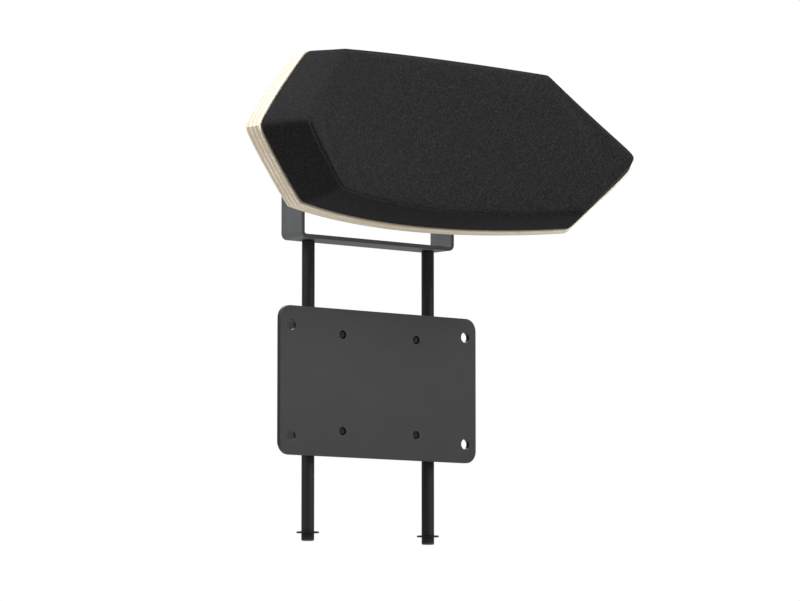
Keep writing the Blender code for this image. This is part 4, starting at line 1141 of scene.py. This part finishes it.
class HEADREST_OT_rear_cover(bpy.types.Operator):
    """Makes the rear cover with its knob boss, the cover screws and the brass insert"""

    bl_idname = "headrest.rear_cover"
    bl_label = "Rear Cover"

    def execute(self, context):
        colours = context.scene.headrest_colours
        nylon = moulded_plastic("glass-filled nylon", colours.nylon)
        black = black_oxide()
        low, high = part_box("rear_cover")
        back = 28.5 * MM
        wall = 2.5 * MM
        screw = centre_of("cover_screw_4")
        places = [(sx * screw.x, sz * screw.z) for sx in (-1, 1) for sz in (-1, 1)]
        bm = rounded_block(low, (high.x, back, high.z), 3 * MM)
        inside_low = (low.x + wall, low.y - 5 * MM, low.z + wall)
        bm = carved(bm, [rounded_block(inside_low, (high.x - wall, back - wall, high.z - wall), 1 * MM, 2)])
        ease = 0.8 * MM
        boss = quarter(11 * MM + 2 * MM, back - 0.4 * MM + 2 * MM, 2 * MM, -90, -180, 5)
        boss = [(13 * MM, back - wall + 0.3 * MM)] + boss
        boss += quarter(11 * MM - ease, high.y - ease, ease, 0, 90)
        posts = [moved(stacked(boss), along_y(0, 0, 0))]
        for x, z in places:
            posts.append(moved(stacked([(5 * MM, low.y), (5 * MM, back - 1 * MM)], 32), along_y(x, 0, z)))
            pad_rings = [(7.5 * MM, back - 1 * MM), (7 * MM, back + 0.05 * MM), (6.8 * MM, back + 0.15 * MM)]
            posts.append(moved(stacked(pad_rings, 40), along_y(x, 0, z)))
        for turn in range(6):
            rib_top = (19 * MM, 0.9 * MM, high.y - 1.5 * MM)
            rib = rounded_block((9 * MM, -0.9 * MM, back - 1 * MM), rib_top, 0)
            for vert in rib.verts:
                if vert.co.x > 15 * MM and vert.co.z > back:
                    vert.co.z = back - 0.2 * MM
            turned = Matrix.Rotation(math.radians(60 * turn + 30), 4, "Z")
            posts.append(moved(moved(rib, turned), along_y(0, 0, 0)))
        bm = carved(bm, posts, "UNION")
        cutters = [drill(x, z, SCREW_BORE) for x, z in places] + [drill(0, 0, 6.3 * MM)]
        bm = bordered(carved(bm, cutters))
        piece("moulded_cover", bm, "receiver", nylon, ("rear_cover",), 30, 0.3 * MM, 2)
        for i in range(1, 5):
            name = f"cover_screw_{i}"
            middle = centre_of(name)
            seat = back + GAP
            bm = moved(pan_screw(seat, 0.5 * MM), along_y(middle.x, 0, middle.z))
            piece(f"housing_screw_{i}", bm, "receiver", black, (name,), sharp=30)
        brass = plated_metal("free-cutting brass", colours.brass, 0.28)
        low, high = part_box("thread_insert")
        flange, inner, outer = 1.4 * MM, 4.3 * MM, 6 * MM
        ease = 0.3 * MM
        rings = [(inner, low.y), (8.5 * MM, low.y), (8.5 * MM, low.y + flange), (outer, low.y + flange)]
        rings += [(outer, high.y - ease), (outer - ease, high.y), (inner + ease, high.y)]
        rings += [(inner, high.y - ease)]
        bm = moved(stacked(rings, hollow=True), along_y(0, 0, 0))
        piece("brass_insert", bm, "receiver", brass, ("thread_insert",), sharp=30)
        return {"FINISHED"}


class HEADREST_OT_clamp(bpy.types.Operator):
    """Finishes the hidden clamp: the bridge and its two rubber shoes"""

    bl_idname = "headrest.clamp"
    bl_label = "Clamp"

    def execute(self, context):
        colours = context.scene.headrest_colours
        carry_over(["clamp_bridge"], plated_metal("zinc-plated steel", colours.zinc))
        rubber = moulded_plastic("nitrile rubber", linear("#262627"), 0.8, 0.85)
        carry_over(["clamp_shoe_left", "clamp_shoe_right"], rubber)
        return {"FINISHED"}


class HEADREST_OT_knob(bpy.types.Operator):
    """Makes the star knob, its cap, the stud that it turns and the stud's clip"""

    bl_idname = "headrest.knob"
    bl_label = "Star Knob"

    def execute(self, context):
        colours = context.scene.headrest_colours
        metal = context.scene.headrest_metal
        nylon = moulded_plastic("glass-filled nylon", colours.nylon)
        low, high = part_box("star_knob")
        lobes = metal.knob_lobes

        def star(angle):
            swing = 0.5 + 0.5 * math.cos(lobes * angle)
            return 0.74 + 0.26 * swing**0.8

        full, neck, bore = metal.knob_radius, 12 * MM, 4.3 * MM
        under = low.y + 4 * MM
        big = 3 * MM
        rings = [(bore, high.y - 4.7 * MM), (bore, low.y + 0.4 * MM), (bore + 0.4 * MM, low.y)]
        rings += [(neck - 0.6 * MM, low.y), (neck, low.y + 0.6 * MM), (neck, under - 0.8 * MM)]
        rings += [(neck + 0.8 * MM, under)]
        rings += [(r, z, star) for r, z in quarter(full - big / 2, under + big / 2, big / 2, -90, 0, 4)]
        rings += [(r, z, star) for r, z in quarter(full - big, high.y - big, big, 0, 90, 8)]
        cap_seat = 9.3 * MM
        rings += [(full - 5.5 * MM, high.y, star), (cap_seat + 1.6 * MM, high.y - 0.5 * MM)]
        rings += [(cap_seat + 0.3 * MM, high.y - 0.5 * MM), (cap_seat, high.y - 0.8 * MM)]
        rings += [(cap_seat, high.y - 1.5 * MM)]
        bm = moved(stacked(rings, 144), along_y(0, 0, 0))
        piece("star_grip", bm, "knob", nylon, ("star_knob",), sharp=40)
        low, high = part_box("knob_cap")
        satin = moulded_plastic("satin polypropylene", linear("#2B2C2E"), 0.4, 0.42, 0.1)
        dome = [(9 * MM * math.cos(a), high.y - 1.2 * MM + 1.2 * MM * math.sin(a)) for a in dome_angles(8)]
        rings = [(8.6 * MM, low.y), (9 * MM, low.y + 0.3 * MM)] + dome
        bm = moved(stacked(rings), along_y(0, 0, 0))
        piece("push_cap", bm, "knob", satin, ("knob_cap",), sharp=30)
        zinc = plated_metal("zinc-plated steel", colours.zinc)
        low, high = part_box("knob_stud")
        carry_over(["stud_clip"], black_oxide())
        neck, groove = 2.7 * MM, 2 * MM
        clip_low, clip_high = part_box("stud_clip")
        slack = 0.2 * MM
        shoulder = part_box("clamp_bridge")[1].y + GAP
        rings = [(neck - 0.3 * MM, low.y), (neck, low.y + 0.3 * MM), (neck, clip_low.y - slack)]
        rings += [(groove, clip_low.y - slack), (groove, clip_high.y + slack), (neck, clip_high.y + slack)]
        rings += [(neck, shoulder), (4 * MM, shoulder)]
        pitch = 1.25 * MM
        turns = 8
        for i in range(turns):
            height = shoulder + 0.5 * MM + i * pitch
            rings += [(4 * MM, height), (3.5 * MM, height + pitch / 2)]
        rings += [(4 * MM, shoulder + 0.5 * MM + turns * pitch), (4 * MM, high.y)]
        bm = moved(stacked(rings, SMALL_STEPS), along_y(0, 0, 0))
        piece("threaded_stud", bm, "knob", zinc, ("knob_stud",), sharp=30)
        return {"FINISHED"}


def dome_angles(steps):
    return [math.radians(88 * i / steps) for i in range(steps + 1)]


# ---------------------------------------------------------------- stage


class HeadrestStage(bpy.types.PropertyGroup):
    azimuth: FloatProperty(
        name="Azimuth", description="Where the camera stands round the part", default=math.radians(-40.5),
        subtype="ANGLE",
    )
    elevation: FloatProperty(
        name="Elevation", description="How far above it the camera stands", default=math.radians(-5.5),
        subtype="ANGLE",
    )
    distance: length("Distance", "From the camera to the part", 2.6)
    lens: FloatProperty(name="Lens", description="Focal length in millimetres", default=188)
    floor: length("Floor", "Height of the floor under the chair", -1.05)
    key: FloatProperty(name="Key", description="Power of the large soft light in watts", default=108)


class HEADREST_OT_stage(bpy.types.Operator):
    """Makes the pale floor, the soft studio lights and the camera"""

    bl_idname = "headrest.stage"
    bl_label = "Stage"

    def execute(self, context):
        stage = context.scene.headrest_stage
        middle = (CAD_LOW + CAD_HIGH) / 2
        bm = bmesh.new()
        bmesh.ops.create_grid(bm, x_segments=1, y_segments=1, size=30)
        bmesh.ops.translate(bm, vec=(0, 0, stage.floor), verts=bm.verts)
        mesh = bpy.data.meshes.new("studio_floor")
        bm.to_mesh(mesh)
        bm.free()
        paper, tree, shader, place = start_material("white paper sweep", Roughness=0.9)
        fleck = node(tree, "TexNoise", {"Vector": place, "Scale": coarseness(40)})
        pale = stops(node(tree, "ValToRGB", {"Fac": fleck.outputs[0]}), linear("#DCDCDB"), linear("#E0E0DF"))
        tree.links.new(pale, shader.inputs["Base Color"])
        # The camera sees brighter paper than the part does, so its underside stays in shade.
        seen = node(tree, "LightPath").outputs["Is Camera Ray"]
        glow = node(tree, "MapRange", {"Value": seen, "To Min": 0.0, "To Max": 0.3}).outputs[0]
        tree.links.new(glow, shader.inputs["Emission Strength"])
        mesh.materials.append(paper)
        floor = bpy.data.objects.new("studio_floor", mesh)
        context.scene.collection.objects.link(floor)
        world = bpy.data.worlds.new("white studio")
        world.use_nodes = True
        tree = world.node_tree
        tree.nodes.clear()
        # The walls are white to the eye, and light the part less than they would at full strength.
        seen = node(tree, "LightPath").outputs["Is Camera Ray"]
        strength = node(tree, "MapRange", {"Value": seen, "To Min": 0.3, "To Max": 1.0}).outputs[0]
        walls = node(tree, "Background", {"Color": (1, 1, 1, 1), "Strength": strength})
        node(tree, "OutputWorld", {"Surface": walls.outputs[0]})
        context.scene.world = world
        softbox("key", (1.0, -1.8, 1.6), 1.5, stage.key, middle)
        softbox("side", (-1.9, 0.3, 1.8), 1.5, 0.8 * stage.key, middle)
        softbox("rim", (0.9, 2.0, 1.4), 1.4, 0.2 * stage.key, middle)
        camera = bpy.data.cameras.new("camera")
        camera.lens = stage.lens
        camera.sensor_width = 36
        camera.clip_end = 100
        holder = bpy.data.objects.new("camera", camera)
        context.scene.collection.objects.link(holder)
        level = math.cos(stage.elevation)
        back = Vector(
            (math.sin(stage.azimuth) * level, -math.cos(stage.azimuth) * level, math.sin(stage.elevation))
        )
        aim(holder, middle + back * stage.distance, middle)
        context.scene.camera = holder
        context.scene.view_settings.view_transform = "Standard"
        return {"FINISHED"}


def aim(obj, place, target):
    turn = (target - place).to_track_quat("-Z", "Y").to_matrix().to_4x4()
    obj.matrix_world = Matrix.Translation(place) @ turn


def softbox(name, place, size, power, target):
    light = bpy.data.lights.new(name, "AREA")
    light.shape = "DISK"
    light.size = size
    light.energy = power
    obj = bpy.data.objects.new(name, light)
    bpy.context.scene.collection.objects.link(obj)
    aim(obj, Vector(place), target)


# ---------------------------------------------------------------- add-on


OPERATORS = (
    HEADREST_OT_stage,
    HEADREST_OT_cushion,
    HEADREST_OT_plywood_shell,
    HEADREST_OT_pad_fixings,
    HEADREST_OT_pad_bracket,
    HEADREST_OT_u_bracket,
    HEADREST_OT_posts,
    HEADREST_OT_pivots,
    HEADREST_OT_mount_plate,
    HEADREST_OT_guide,
    HEADREST_OT_rear_cover,
    HEADREST_OT_clamp,
    HEADREST_OT_knob,
)


class HEADREST_PT_panel(bpy.types.Panel):
    """Lists the headrest's pieces and its settings"""

    bl_label = "Headrest"
    bl_idname = "HEADREST_PT_panel"
    bl_space_type = "VIEW_3D"
    bl_region_type = "UI"
    bl_category = "Headrest"

    def draw(self, context):
        for operator in OPERATORS:
            self.layout.operator(operator.bl_idname)
        for group in GROUPS:
            box = self.layout.box()
            for name in GROUPS[group].__annotations__:
                box.prop(getattr(context.scene, group), name)


GROUPS = {
    "headrest_pad": HeadrestPadSizes,
    "headrest_metal": HeadrestMetalSizes,
    "headrest_colours": HeadrestColours,
    "headrest_stage": HeadrestStage,
}
CLASSES = (*GROUPS.values(), *OPERATORS, HEADREST_PT_panel)


def register():
    for cls in CLASSES:
        bpy.utils.register_class(cls)
    for name, group in GROUPS.items():
        setattr(bpy.types.Scene, name, PointerProperty(type=group))


def unregister():
    for name in GROUPS:
        delattr(bpy.types.Scene, name)
    for cls in reversed(CLASSES):
        bpy.utils.unregister_class(cls)


def main():
    register()
    for operator in OPERATORS:
        group, name = operator.bl_idname.split(".")
        getattr(getattr(bpy.ops, group), name)()


if __name__ == "__main__":
    main()
